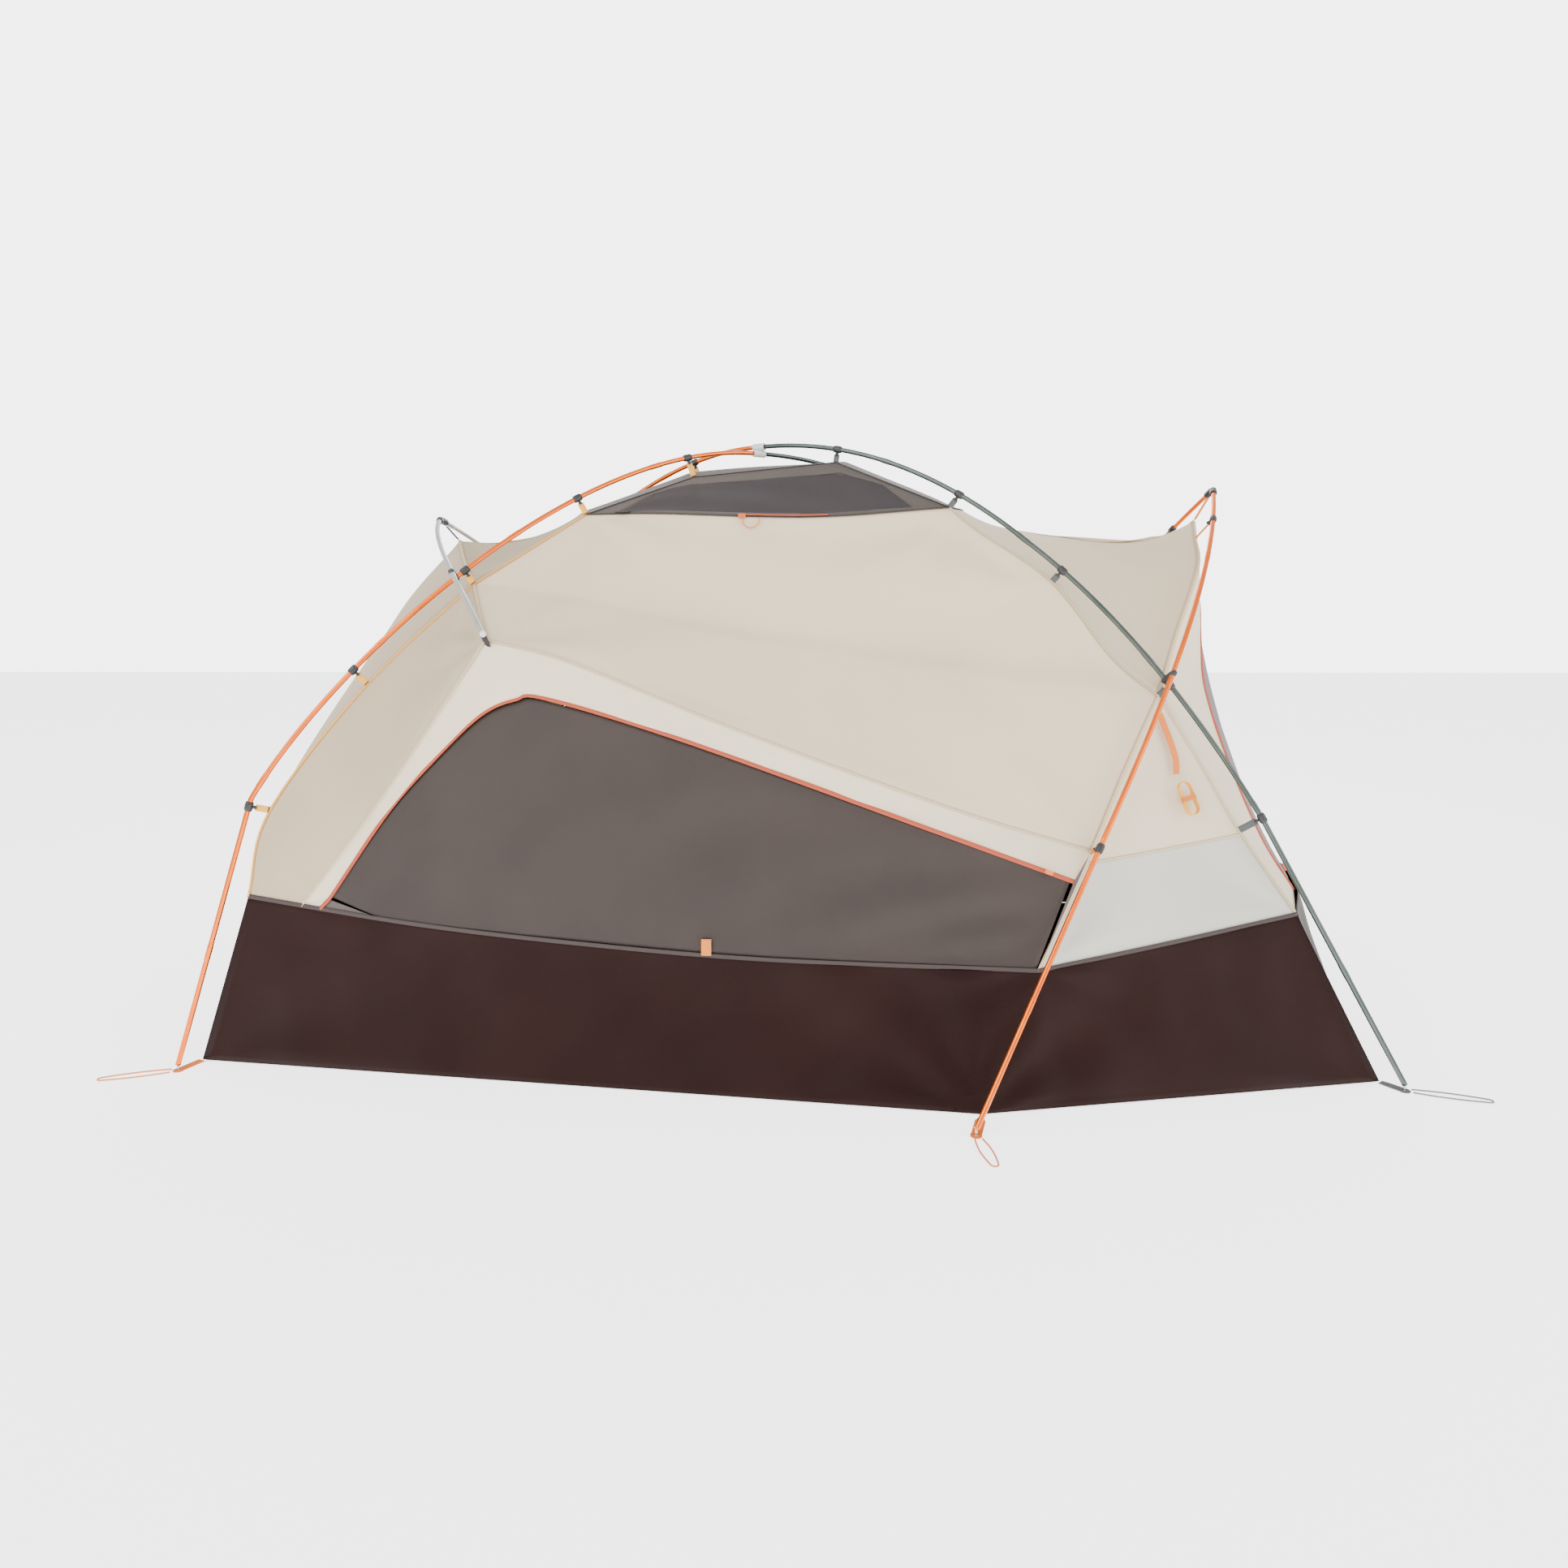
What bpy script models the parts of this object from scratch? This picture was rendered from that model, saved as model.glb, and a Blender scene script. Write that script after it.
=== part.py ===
"""Two-person four-pole tent, pitched without its rain fly.

The tent stands on six pole feet and is its own mirror image about the XZ plane.
X runs along the sleeper, with the door at +X. Y runs across, and the side that
is named "front" lies at -Y. Z = 0 is the ground. All sizes are in metres.

Every panel of cloth is a thin closed sheet laid between the seams that bound it:
    P(u, v) = Coons patch of the four seams + bulge * sin(pi u) * sin(pi v) * normal
and it stops GAP short of each seam, so that neighbouring panels never touch.
"""
import bpy
import bmesh
import math
import numpy as np
from mathutils import Vector

# ---- driving dimensions -------------------------------------------------------
GAP = 0.0022                # half of the space left between two panels at a seam
CLOTH = 0.0016              # thickness of a cloth panel's solid
POLE_R = 0.0048             # pole tube radius
TIP_R = 0.0022              # pole tip radius, where it enters its grommet
FOOT_LIFT = 0.012           # height at which the tube begins above its tip
SLEEVE_R = 0.0078           # moulded elbow and hub radius
WEBBING = 0.0016            # thickness of the corner webbing
CORD_D = 0.003              # stake-loop cord diameter
CORD_BEND = 0.0065          # radius of the bend at a stake loop's far end
ELBOW_GRIP = 0.022          # how far a pole's end stays short of its elbow's bend
HUB_SOCKET = 0.014          # and of the hub's middle
HUB_HALF = 0.0136           # half of a hub sleeve's length

FOOT_END = np.array([-1.1375, -0.5506, 0.0])    # pole feet on the ground, front side
FOOT_MID = np.array([0.3323, -0.7750, 0.0])
FOOT_DOOR = np.array([1.1375, -0.6031, 0.0])

FLOOR_END = np.array([-1.118, -0.505, 0.0])     # floor corners, front side
FLOOR_MID = np.array([0.355, -0.703, 0.0])
FLOOR_DOOR = np.array([1.112, -0.568, 0.0])

TUB_END = np.array([-1.011, -0.486, 0.324])     # tops of the tub's corner seams
TUB_MID = np.array([0.462, -0.622, 0.232])
TUB_DOOR = np.array([0.961, -0.514, 0.305])
TUB_GUSSET = np.array([-0.905, -0.497, 0.309])  # where the gusset seam meets the tub

TIE_LOW = np.array([-0.967, -0.464, 0.487])     # seam points tied to the foot-end pole
TIE_HIP = np.array([-0.801, -0.380, 0.720])
TIE_EAVE = np.array([-0.614, -0.285, 0.914])
TIE_ROOF = np.array([-0.405, -0.179, 1.060])
CROWN_END = np.array([-0.191, -0.071, 1.149])
CROWN_DOOR = np.array([0.116, -0.085, 1.177])   # and to the door-end pole
TIE_VENT = np.array([0.345, -0.201, 1.071])
TIE_HOOD = np.array([0.5365, -0.298, 0.918])
TIE_CROSS = np.array([0.722, -0.402, 0.700])
TIE_KNEE = np.array([0.865, -0.465, 0.453])
TIE_ARCH = np.array([0.567, -0.545, 0.430])     # seam point clipped to the arch pole

EAVE_CORNER = np.array([-0.5385, -0.470, 0.808])
PEAK_END = np.array([-0.733, 0.0, 1.021])       # peaks of the two small hoods
PEAK_DOOR = np.array([0.9215, 0.0, 1.062])
RIDGE_END = np.array([-0.443, 0.0, 1.083])      # middle of the roof's two short edges
RIDGE_DOOR = np.array([0.400, 0.0, 1.082])

HUB_LOW, HUB_HIGH = 1.209, 1.2232               # pole centre heights where they cross
ARCH_TOP = np.array([0.9596, 0.0, 1.130])
EAVE_TIP = np.array([-0.5385, -0.4846, 0.8187])
EAVE_TOP = np.array([-0.7734, 0.0, 1.0675])

LOOP_END = np.array([-1.263, -0.593, 0.0])      # far ends of the three front stake loops
LOOP_MID = np.array([0.346, -0.871, 0.0])
LOOP_DOOR = np.array([1.269, -0.645, 0.0])

WINDOW_HINGE = np.array([-0.150, -0.562, 0.2366])   # where the window cover and the door turn
DOOR_HINGE = np.array([1.128, 0.0, 0.3085])

GUY_TOP = np.array([0.7175, -0.4255, 0.670])    # where the guyline strap is sewn
GUY_BEND = np.array([0.7410, -0.4520, 0.596])
GUY_LOW = np.array([0.7410, -0.4670, 0.560])
GUY_HANK = np.array([0.7590, -0.4860, 0.5180])  # middle of the tied-up line
GUY_OUT = np.array([0.1485, -0.9242, 0.3519])   # away from the side wall

FLOOR_INSET = 0.004         # share by which the floor stays inside the walls' feet
TUB_HEIGHT = 0.29           # typical height of the tub's walls
TUB_BOW = 0.012             # how far its long walls bow inwards
END_SWELL = 0.030           # how far the end wall above it swells outwards
HOOD_SAG_END = 0.027        # how far the two hoods hang below the line between their ends
HOOD_SAG_DOOR = 0.066
GUSSET_SHARE = 0.07         # share of the tub's rim that lies under the gusset
SEAM_SHARES = (0.03, 0.97)      # how near the window band comes to its two seams
MESH_SHARES = (0.012, 0.988)    # the window mesh, from sill to zip
COVER_SHARES = (0.030, 0.975)   # and its cover, which has to swing past the zip
COVER_BEHIND = 0.006        # distance from the mesh to the cover behind it
DOOR_WALL_SHARES = (0.012, 0.985)
DOOR_SHARES = (0.008, 0.97)     # the door's rows, along its zip
DOOR_WIDTH = 0.985          # the door's width as a share of the space between its zips
DOOR_ROUND = 1.6            # 1 gives it a sharp prow in the middle, 2 a round one
DOOR_SILL, DOOR_HEIGHT = 0.309, 0.609
PROW_HEIGHTS = (0, 0.08, 0.25, 0.5, 0.8, 1)         # shares of the door's height
PROW_X = (1.122, 1.095, 1.045, 0.988, 0.938, 0.915)     # its middle line at those heights
VENT_CUTS = (0.081, 0.205)      # shares of a vent's two long edges left out at each end
BORDER_MITRE = (0.061, 0.175)   # how far its border's corners reach out from there
BORDER_OUTER = (0.025, 0.920)   # shares of the slope at which the border starts and stops
BORDER_INNER = (0.035, 0.825)   # and those of its opening
MESH_CUTS = (0.085, 0.212)      # the same for the mesh in the opening
MESH_SLOPE = (0.060, 0.800)

MIRROR = np.array([1.0, -1.0, 1.0])

CREAM = (0.76, 0.72, 0.62)
PALE = (0.72, 0.72, 0.68)
BROWN = (0.075, 0.045, 0.038)
MESH_GREY = (0.11, 0.09, 0.085)
ORANGE = (0.80, 0.19, 0.02)
POLE_GREY = (0.12, 0.14, 0.14)
SILVER = (0.30, 0.31, 0.32)
BLACK = (0.02, 0.02, 0.02)
STRAP = (0.90, 0.40, 0.02)


# ---- materials and objects ----------------------------------------------------
def material(name, colour, roughness=0.7, metallic=0.0):
    mat = bpy.data.materials.new(name)
    mat.use_nodes = True
    shader = mat.node_tree.nodes["Principled BSDF"]
    shader.inputs["Base Color"].default_value = (*colour, 1.0)
    shader.inputs["Roughness"].default_value = roughness
    shader.inputs["Metallic"].default_value = metallic
    mat.diffuse_color = (*colour, 1.0)
    return mat


def add_mesh(name, verts, faces, colour, origin=(0, 0, 0), smooth=False, **finish):
    """A closed mesh facing out, with its origin where the piece turns or rests."""
    mesh = bpy.data.meshes.new(name)
    local = np.asarray(verts, float) - np.asarray(origin, float)
    mesh.from_pydata([tuple(p) for p in local], [], faces)
    bm = bmesh.new()
    bm.from_mesh(mesh)
    bmesh.ops.recalc_face_normals(bm, faces=bm.faces)
    bm.to_mesh(mesh)
    bm.free()
    if smooth:
        mesh.shade_smooth()
        mesh.set_sharp_from_angle(angle=math.radians(35))
    obj = bpy.data.objects.new(name, mesh)
    obj.location = Vector(tuple(float(c) for c in origin))
    mesh.materials.append(material(name, colour, **finish))
    bpy.context.collection.objects.link(obj)
    return obj


def add_tube(name, points, radii, colour, resolution=2, origin=(0, 0, 0), **finish):
    """A round rod along a path: a POLY curve whose points carry their own radius."""
    curve = bpy.data.curves.new(name, "CURVE")
    curve.dimensions = "3D"
    biggest = float(np.max(radii))
    curve.bevel_depth = biggest
    curve.bevel_resolution = resolution
    curve.use_fill_caps = True
    spline = curve.splines.new("POLY")
    spline.points.add(len(points) - 1)
    for point, place, radius in zip(spline.points, np.asarray(points) - origin, radii):
        point.co = (*place, 1.0)
        point.radius = float(radius) / biggest
    spline.use_smooth = True
    obj = bpy.data.objects.new(name, curve)
    obj.location = Vector(tuple(float(c) for c in origin))
    curve.materials.append(material(name, colour, **finish))
    bpy.context.collection.objects.link(obj)
    return obj


# ---- curves -------------------------------------------------------------------
def sample(points, t):
    """Points along a polyline at the shares t of its length."""
    points = np.asarray(points, float)
    steps = np.linalg.norm(np.diff(points, axis=0), axis=1)
    along = np.concatenate([[0.0], np.cumsum(steps)]) / steps.sum()
    return np.stack([np.interp(t, along, points[:, k]) for k in range(3)], axis=1)


def smooth(points, count=24):
    """A Catmull-Rom curve through the points, as a dense polyline."""
    points = np.asarray(points, float)
    ends = np.vstack([2 * points[0] - points[1], points, 2 * points[-1] - points[-2]])
    t = np.linspace(0, 1, count, endpoint=False)[:, None]
    runs = []
    for a, b, c, d in zip(ends, ends[1:], ends[2:], ends[3:]):
        runs.append(0.5 * (2 * b + (c - a) * t + (2 * a - 5 * b + 4 * c - d) * t**2
                           + (3 * b - a - 3 * c + d) * t**3))
    return np.vstack(runs + [points[-1:]])


def bezier(p0, p1, p2, p3, count=40):
    t = np.linspace(0, 1, count)[:, None]
    p0, p1, p2, p3 = (np.asarray(p, float) for p in (p0, p1, p2, p3))
    return (1 - t)**3 * p0 + 3 * (1 - t)**2 * t * p1 + 3 * (1 - t) * t**2 * p2 + t**3 * p3


def rear(points):
    """The same points on the far side of the mirror plane."""
    return np.asarray(points) * MIRROR


# ---- cloth --------------------------------------------------------------------
def coons(bottom, top, left, right, shares_u, shares_v, bulge=0.0):
    """Grid of points on the patch that the four edges bound, row by row in v.

    bottom and top run in u, left and right in v. shares_u and shares_v are
    increasing shares of 0..1, so a patch can stop short of its seams.
    """
    u = shares_u[None, :, None]
    v = shares_v[:, None, None]
    low, high = (sample(edge, shares_u)[None] for edge in (bottom, top))
    near, far = (sample(edge, shares_v)[:, None] for edge in (left, right))
    c00, c10, c01, c11 = (np.asarray(p, float) for p in (bottom[0], bottom[-1], top[0], top[-1]))
    corners = ((1 - u) * (1 - v) * c00 + u * (1 - v) * c10 + (1 - u) * v * c01 + u * v * c11)
    grid = (1 - v) * low + v * high + (1 - u) * near + u * far - corners
    if bulge:
        grid = grid + bulge * (np.sin(math.pi * u) * np.sin(math.pi * v)) * normals(grid)
    return grid


def normals(grid):
    du = np.gradient(grid, axis=1)
    dv = np.gradient(grid, axis=0)
    n = np.cross(du, dv)
    return n / np.maximum(np.linalg.norm(n, axis=2, keepdims=True), 1e-9)


def inset(length, count, gap=GAP):
    """Shares of an edge from gap to length - gap."""
    share = gap / length
    return np.linspace(share, 1 - share, count)


def length(edge):
    return float(np.linalg.norm(np.diff(np.asarray(edge, float), axis=0), axis=1).sum())


def two_skins(middle, quads, offset):
    """Both skins as triangles, from quads that index the middle surface's points.

    A bent quad is split along its shorter diagonal, the same one on each skin, because
    with different diagonals a thin sheet's skins would pass through each other.
    """
    corners = middle[quads]
    first, second = (np.linalg.norm(corners[:, k] - corners[:, k + 2], axis=1) for k in (0, 1))
    quads = np.where((first > second)[:, None], np.roll(quads, -1, axis=1), quads)
    triangles = np.concatenate([quads[:, [0, 1, 2]], quads[:, [0, 2, 3]]])
    return np.concatenate([triangles, triangles[:, ::-1] + offset])


def sheet(name, grid, colour, origin=(0, 0, 0), shift=0.0, thickness=CLOTH, **finish):
    """A closed sheet around a grid of points: two skins and a rim."""
    rows, cols = grid.shape[:2]
    n = normals(grid)
    skins = [grid + (shift + side * thickness / 2) * n for side in (1, -1)]
    verts = np.concatenate([skin.reshape(-1, 3) for skin in skins])
    index = np.arange(rows * cols).reshape(rows, cols)
    quads = np.stack([index[:-1, :-1], index[:-1, 1:], index[1:, 1:], index[1:, :-1]], -1)
    quads = quads.reshape(-1, 4)
    rim = np.concatenate([index[0, :], index[1:, -1], index[-1, -2::-1], index[-2:0:-1, 0]])
    after = np.roll(rim, -1)
    walls = np.stack([rim, rim + rows * cols, after + rows * cols, after], -1)
    faces = two_skins(grid.reshape(-1, 3), quads, rows * cols).tolist() + walls.tolist()
    return add_mesh(name, verts, faces, colour, origin, smooth=True, **finish)


def both_sides(name, grid, colour, **more):
    """The front panel and its mirror image at the rear, shifted the same way."""
    sheet(name + "_front", grid, colour, **more)
    mirrored = dict(more)
    if "origin" in more:
        mirrored["origin"] = np.asarray(more["origin"]) * MIRROR
    mirrored["shift"] = -more.get("shift", 0.0)
    sheet(name + "_rear", grid * MIRROR, colour, **mirrored)


def panel(edges, count_u, count_v, bulge=0.0):
    """A Coons patch that stops GAP short of its four seams."""
    bottom, top, left, right = edges
    across = min(length(bottom), length(top)) * 0.5 + max(length(bottom), length(top)) * 0.5
    up = (length(left) + length(right)) / 2
    return coons(bottom, top, left, right, inset(across, count_u), inset(up, count_v), bulge)


# ---- seams, all on the front side ---------------------------------------------
TUB_RIM = smooth([TUB_END, [-0.700, -0.518, 0.283], [-0.400, -0.545, 0.256],
                  [-0.027, -0.580, 0.236], TUB_MID])
TUB_RIM_DOOR = smooth([TUB_MID, [0.700, -0.573, 0.266], TUB_DOOR])
POLE_SEAM_END = smooth([TUB_END, TIE_LOW, TIE_HIP, TIE_EAVE])
POLE_SEAM_DOOR = smooth([TIE_VENT, [0.400, -0.229, 1.022], TIE_HOOD, [0.6456, -0.354, 0.772],
                         TIE_CROSS])
KNEE_SEAM = smooth([TUB_DOOR, TIE_KNEE, [0.800, -0.437, 0.569], TIE_CROSS])
ARCH_SEAM_LOW = smooth([TUB_MID, TIE_ARCH, [0.645, -0.468, 0.568], TIE_CROSS])
ARCH_SEAM_TOP = smooth([TIE_CROSS, [0.780, -0.315, 0.810], [0.858, -0.204, 0.949],
                        [0.895, -0.085, 1.018], PEAK_DOOR])
EAVE_SEAM = smooth([TIE_EAVE, [-0.680, -0.130, 0.965], PEAK_END])
SIDE_SEAM = smooth([EAVE_CORNER, [-0.390, -0.463, 0.768], [-0.087, -0.500, 0.649],
                    [0.300, -0.545, 0.512], TIE_ARCH])
GUSSET_SEAM = smooth([TUB_GUSSET, [-0.760, -0.500, 0.487], [-0.640, -0.490, 0.655], EAVE_CORNER])
VENT_EDGE = smooth([TIE_ROOF, [-0.250, -0.196, 1.060], [0.060, -0.205, 1.052], TIE_VENT])
WINDOW_ZIP = smooth([[-0.850, -0.499, 0.322], [-0.732, -0.487, 0.488], [-0.638, -0.478, 0.591],
                     [-0.555, -0.470, 0.668], [-0.490, -0.468, 0.697], [-0.428, -0.472, 0.699],
                     [-0.162, -0.502, 0.622], [0.2785, -0.560, 0.471], [0.525, -0.592, 0.386]])
DOOR_ZIP = smooth([[1.030, -0.360, 0.309], [0.965, -0.345, 0.412], [0.901, -0.310, 0.567],
                   [0.870, -0.252, 0.702], [0.880, -0.185, 0.800], [0.905, -0.095, 0.888],
                   [0.915, 0.0, 0.918]])
DOOR_RIM = smooth([TUB_DOOR, [1.075, -0.270, 0.309], [1.125, 0.0, 0.311]])
END_RIM = smooth([TUB_END, [-1.062, -0.250, 0.322], [-1.078, 0.0, 0.320]])


def tub():
    """The waterproof floor: a flat sheet and four walls that stand around it."""
    outline = [FLOOR_END, FLOOR_MID, FLOOR_DOOR]
    outline = np.array(outline + [p * MIRROR for p in reversed(outline)])
    centre = outline.mean(axis=0)
    lower = centre + (outline - centre) * (1 - FLOOR_INSET)
    upper = lower + [0, 0, CLOTH]
    count = len(outline)
    faces = [list(range(count)), list(range(count, 2 * count))]
    faces += [[k, (k + 1) % count, (k + 1) % count + count, k + count] for k in range(count)]
    add_mesh("floor_sheet", np.vstack([lower, upper]), faces, BROWN, roughness=0.6)

    lift = np.array([0, 0, CLOTH + 0.0006])
    side_bottom = np.vstack([np.linspace(FLOOR_END, FLOOR_MID, 13)[:-1],
                             np.linspace(FLOOR_MID, FLOOR_DOOR, 7)]) + lift
    side_top = np.vstack([sample(TUB_RIM, np.linspace(0, 1, 13))[:-1],
                          sample(TUB_RIM_DOOR, np.linspace(0, 1, 7))])
    rise = np.linspace(0, 1 - GAP / TUB_HEIGHT, 5)[:, None, None]
    grid = side_bottom[None] * (1 - rise) + side_top[None] * rise
    run = np.linspace(0, 1, grid.shape[1])[None, :, None]
    grid = grid - TUB_BOW * np.sin(math.pi * rise) * np.sin(math.pi * run) * normals(grid)
    # The end columns step back from the corner seams.
    grid[:, 0] += (grid[:, 1] - grid[:, 0]) * 0.03
    grid[:, -1] += (grid[:, -2] - grid[:, -1]) * 0.03
    both_sides("tub_wall", grid, BROWN, roughness=0.55)

    for name, corner, rim in (("tub_wall_foot", FLOOR_END, END_RIM),
                              ("tub_wall_door", FLOOR_DOOR, DOOR_RIM)):
        top = np.vstack([rim, rear(rim)[::-1][1:]])
        bottom = np.linspace(corner, corner * MIRROR, 9) + lift
        left = np.linspace(bottom[0], top[0], 5)
        right = np.linspace(bottom[-1], top[-1], 5)
        shares_v = np.linspace(0, 1 - GAP / TUB_HEIGHT, 5)
        shares_u = inset(length(bottom), 13, 2 * GAP)
        sheet(name, coons(bottom, top, left, right, shares_u, shares_v), BROWN, roughness=0.55)


def side_panels():
    """Everything between the tub and the roof on the two long sides."""
    roof_left = np.vstack([smooth([EAVE_CORNER, TIE_EAVE]), smooth([TIE_EAVE, TIE_ROOF])[1:]])
    roof_right = np.vstack([ARCH_SEAM_LOW[24:], POLE_SEAM_DOOR[::-1][1:]])
    both_sides("upper_panel", panel((SIDE_SEAM, VENT_EDGE, roof_left, roof_right), 15, 11),
               CREAM)

    # The band around the window is ruled between the outer seam and the zip.
    outer = np.vstack([GUSSET_SEAM, SIDE_SEAM[1:]])
    zip_line = WINDOW_ZIP
    left = np.vstack([zip_line[0], outer[0]])
    right = np.vstack([zip_line[-1], outer[-1]])
    shares_u = inset(length(zip_line), 25)
    band = coons(zip_line, outer, left, right, shares_u, np.linspace(*SEAM_SHARES, 3))
    both_sides("window_band", band, CREAM)

    sill = TUB_RIM[20:]
    left = np.vstack([sill[0], zip_line[0]])
    right = np.vstack([sill[-1], zip_line[-1]])
    across = (length(sill) + length(zip_line)) / 2
    for name, gap, shares, colour, more in (
            ("window_mesh", 2 * GAP, MESH_SHARES, MESH_GREY, {}),
            ("window_cover", 4 * GAP, COVER_SHARES, CREAM,
             {"shift": -COVER_BEHIND, "origin": WINDOW_HINGE})):
        patch = coons(sill, zip_line, left, right, inset(across, 21, gap),
                      np.linspace(*shares, 7))
        both_sides(name, patch, colour, **more)

    rim = sample(TUB_RIM, np.linspace(0, GUSSET_SHARE, 8))
    rim[-1] = TUB_GUSSET
    gusset_top = smooth([TIE_EAVE, EAVE_CORNER])
    both_sides("corner_gusset", panel((rim, gusset_top, POLE_SEAM_END, GUSSET_SEAM), 5, 13),
               CREAM)

    apex = np.vstack([TIE_CROSS + [-0.006, 0, 0], TIE_CROSS + [0.006, 0, 0]])
    both_sides("side_wall", panel((TUB_RIM_DOOR, apex, ARCH_SEAM_LOW, KNEE_SEAM), 7, 11), PALE)


def ends_and_hoods():
    """The two end walls, the door and the small hoods over them."""
    over_end = np.vstack([EAVE_SEAM, rear(EAVE_SEAM)[::-1][1:]])
    rim_end = np.vstack([END_RIM, rear(END_RIM)[::-1][1:]])
    sheet("end_wall_foot", panel((rim_end, over_end, POLE_SEAM_END, rear(POLE_SEAM_END)),
                                 13, 11, -END_SWELL), CREAM)
    roof_end = smooth([TIE_ROOF, RIDGE_END, TIE_ROOF * MIRROR])
    climb = smooth([TIE_EAVE, TIE_ROOF])
    sheet("hood_foot", panel((over_end, roof_end, climb, rear(climb)), 13, 9, HOOD_SAG_END),
          CREAM)

    over_door = np.vstack([ARCH_SEAM_TOP, rear(ARCH_SEAM_TOP)[::-1][1:]])
    roof_door = smooth([TIE_VENT, RIDGE_DOOR, TIE_VENT * MIRROR])
    sheet("hood_door", panel((roof_door, over_door, POLE_SEAM_DOOR, rear(POLE_SEAM_DOOR)),
                             13, 11, HOOD_SAG_DOOR), CREAM)

    # The door wall is a band between the outer seam and the door's zip.
    outer_half = np.vstack([KNEE_SEAM, ARCH_SEAM_TOP[1:]])
    outer = np.vstack([outer_half, rear(outer_half)[::-1][1:]])
    zip_line = np.vstack([DOOR_ZIP, rear(DOOR_ZIP)[::-1][1:]])
    left = np.vstack([outer[0], zip_line[0]])
    right = np.vstack([outer[-1], zip_line[-1]])
    shares_u = inset(length(zip_line), 33)
    band = coons(outer, zip_line, left, right, shares_u, np.linspace(*DOOR_WALL_SHARES, 3))
    sheet("door_wall", band, CREAM)

    # The door: rows from the sill to the top of the zip, swelling outwards.
    side = sample(DOOR_ZIP, np.linspace(*DOOR_SHARES, 11))[:, None]
    across = np.linspace(-1, 1, 13)[None]
    height = (side[..., 2] - DOOR_SILL) / DOOR_HEIGHT
    prow = np.interp(height, PROW_HEIGHTS, PROW_X)
    x = prow - (prow - side[..., 0]) * np.abs(across)**DOOR_ROUND
    y = side[..., 1] * across * DOOR_WIDTH
    z = side[..., 2] + 0.003 * (1 - height) + 0 * across
    sheet("door_panel", np.stack([x, y, z], -1), MESH_GREY, origin=DOOR_HINGE)


def roof():
    """Mesh vents on both sides of a narrow crown, each with a dark border."""
    ridge = np.array([TIE_ROOF, CROWN_END, CROWN_DOOR, TIE_VENT])
    dense = np.vstack([np.linspace(a, b, 5)[:-1] for a, b in zip(ridge, ridge[1:])] + [ridge[-1:]])
    end_edge = smooth([TIE_ROOF, RIDGE_END, TIE_ROOF * MIRROR])
    door_edge = smooth([TIE_VENT, RIDGE_DOOR, TIE_VENT * MIRROR])
    crown = coons(dense, rear(dense), end_edge, door_edge, inset(length(dense), 13),
                  inset(length(end_edge), 7))
    sheet("roof_crown", crown, BROWN)

    outer = rim_of(vent_outline(dense, VENT_CUTS, BORDER_OUTER, BORDER_MITRE))
    inner = rim_of(vent_outline(dense, VENT_CUTS, BORDER_INNER))
    strip = np.stack([inner, outer])
    closed_strip("vent_border_front", strip, BROWN)
    closed_strip("vent_border_rear", strip * MIRROR, BROWN)
    both_sides("vent_mesh", vent_outline(dense, MESH_CUTS, MESH_SLOPE), MESH_GREY)


def vent_outline(ridge, cuts, slope, mitre=(0, 0)):
    """A four-sided patch of the vent's slope, ruled between its lower edge and the ridge.

    cuts are the shares of those two edges left out at each end, slope the shares of the
    slope at which the patch starts and stops. Only its end columns reach out by mitre.
    """
    edges = []
    for edge, cut, reach in zip((VENT_EDGE, ridge), cuts, mitre):
        shares = np.linspace(cut, 1 - cut, 13)
        shares[[0, -1]] += (-reach, reach)
        edges.append(sample(edge, shares)[None])
    low, high = edges
    rise = np.linspace(*slope, 5)[:, None, None]
    return low * (1 - rise) + high * rise


def rim_of(grid):
    """The grid's outermost points, once round."""
    return np.concatenate([grid[0], grid[1:-1, -1], grid[-1, ::-1], grid[-2:0:-1, 0]])


def closed_strip(name, strip, colour, thickness=CLOTH):
    """A flat frame between two closed loops of points."""
    count = strip.shape[1]
    n = np.cross(np.roll(strip[1], -1, 0) - np.roll(strip[1], 1, 0), strip[0] - strip[1])
    n = (n / np.linalg.norm(n, axis=1, keepdims=True)).mean(axis=0)
    n = n / np.linalg.norm(n)
    loops = strip.reshape(-1, 3)
    verts = np.concatenate([loops + n * thickness / 2, loops - n * thickness / 2])
    k = np.arange(count)
    after = np.roll(k, -1)
    quads = np.stack([k, after, after + count, k + count], -1)
    hole_wall = np.stack([k, k + 2 * count, after + 2 * count, after], -1)
    rim_wall = hole_wall[:, ::-1] + count
    faces = two_skins(loops, quads, 2 * count).tolist()
    faces += hole_wall.tolist() + rim_wall.tolist()
    add_mesh(name, verts, faces, colour)


# ---- poles --------------------------------------------------------------------
def pole_path(start, heading, knee, pull_knee, pull_hub, hub_run, hub_height):
    """A straight leg to the pre-bent knee, then a curve that ends level at the hub.

    start is the foot on the ground and heading the unit direction over the ground.
    The other values are (run, height) pairs in the pole's own upright plane.
    """
    leg = np.linspace([0, FOOT_LIFT], knee, 7)[:-1]
    bow = bezier(knee, pull_knee, pull_hub, [hub_run, hub_height], 30)
    flat = np.vstack([leg, bow])
    return start + flat[:, :1] * heading + flat[:, 1:] * np.array([0, 0, 1.0])


def with_tip(path):
    """Adds the thin tip that stands in the grommet, and returns path and radii."""
    foot = path[0]
    tip = [[foot[0], foot[1], 0.0012], [foot[0], foot[1], foot[2] - 0.0005]]
    radii = np.concatenate([[TIP_R, TIP_R], np.full(len(path), POLE_R)])
    return np.vstack([tip, path]), radii


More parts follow.
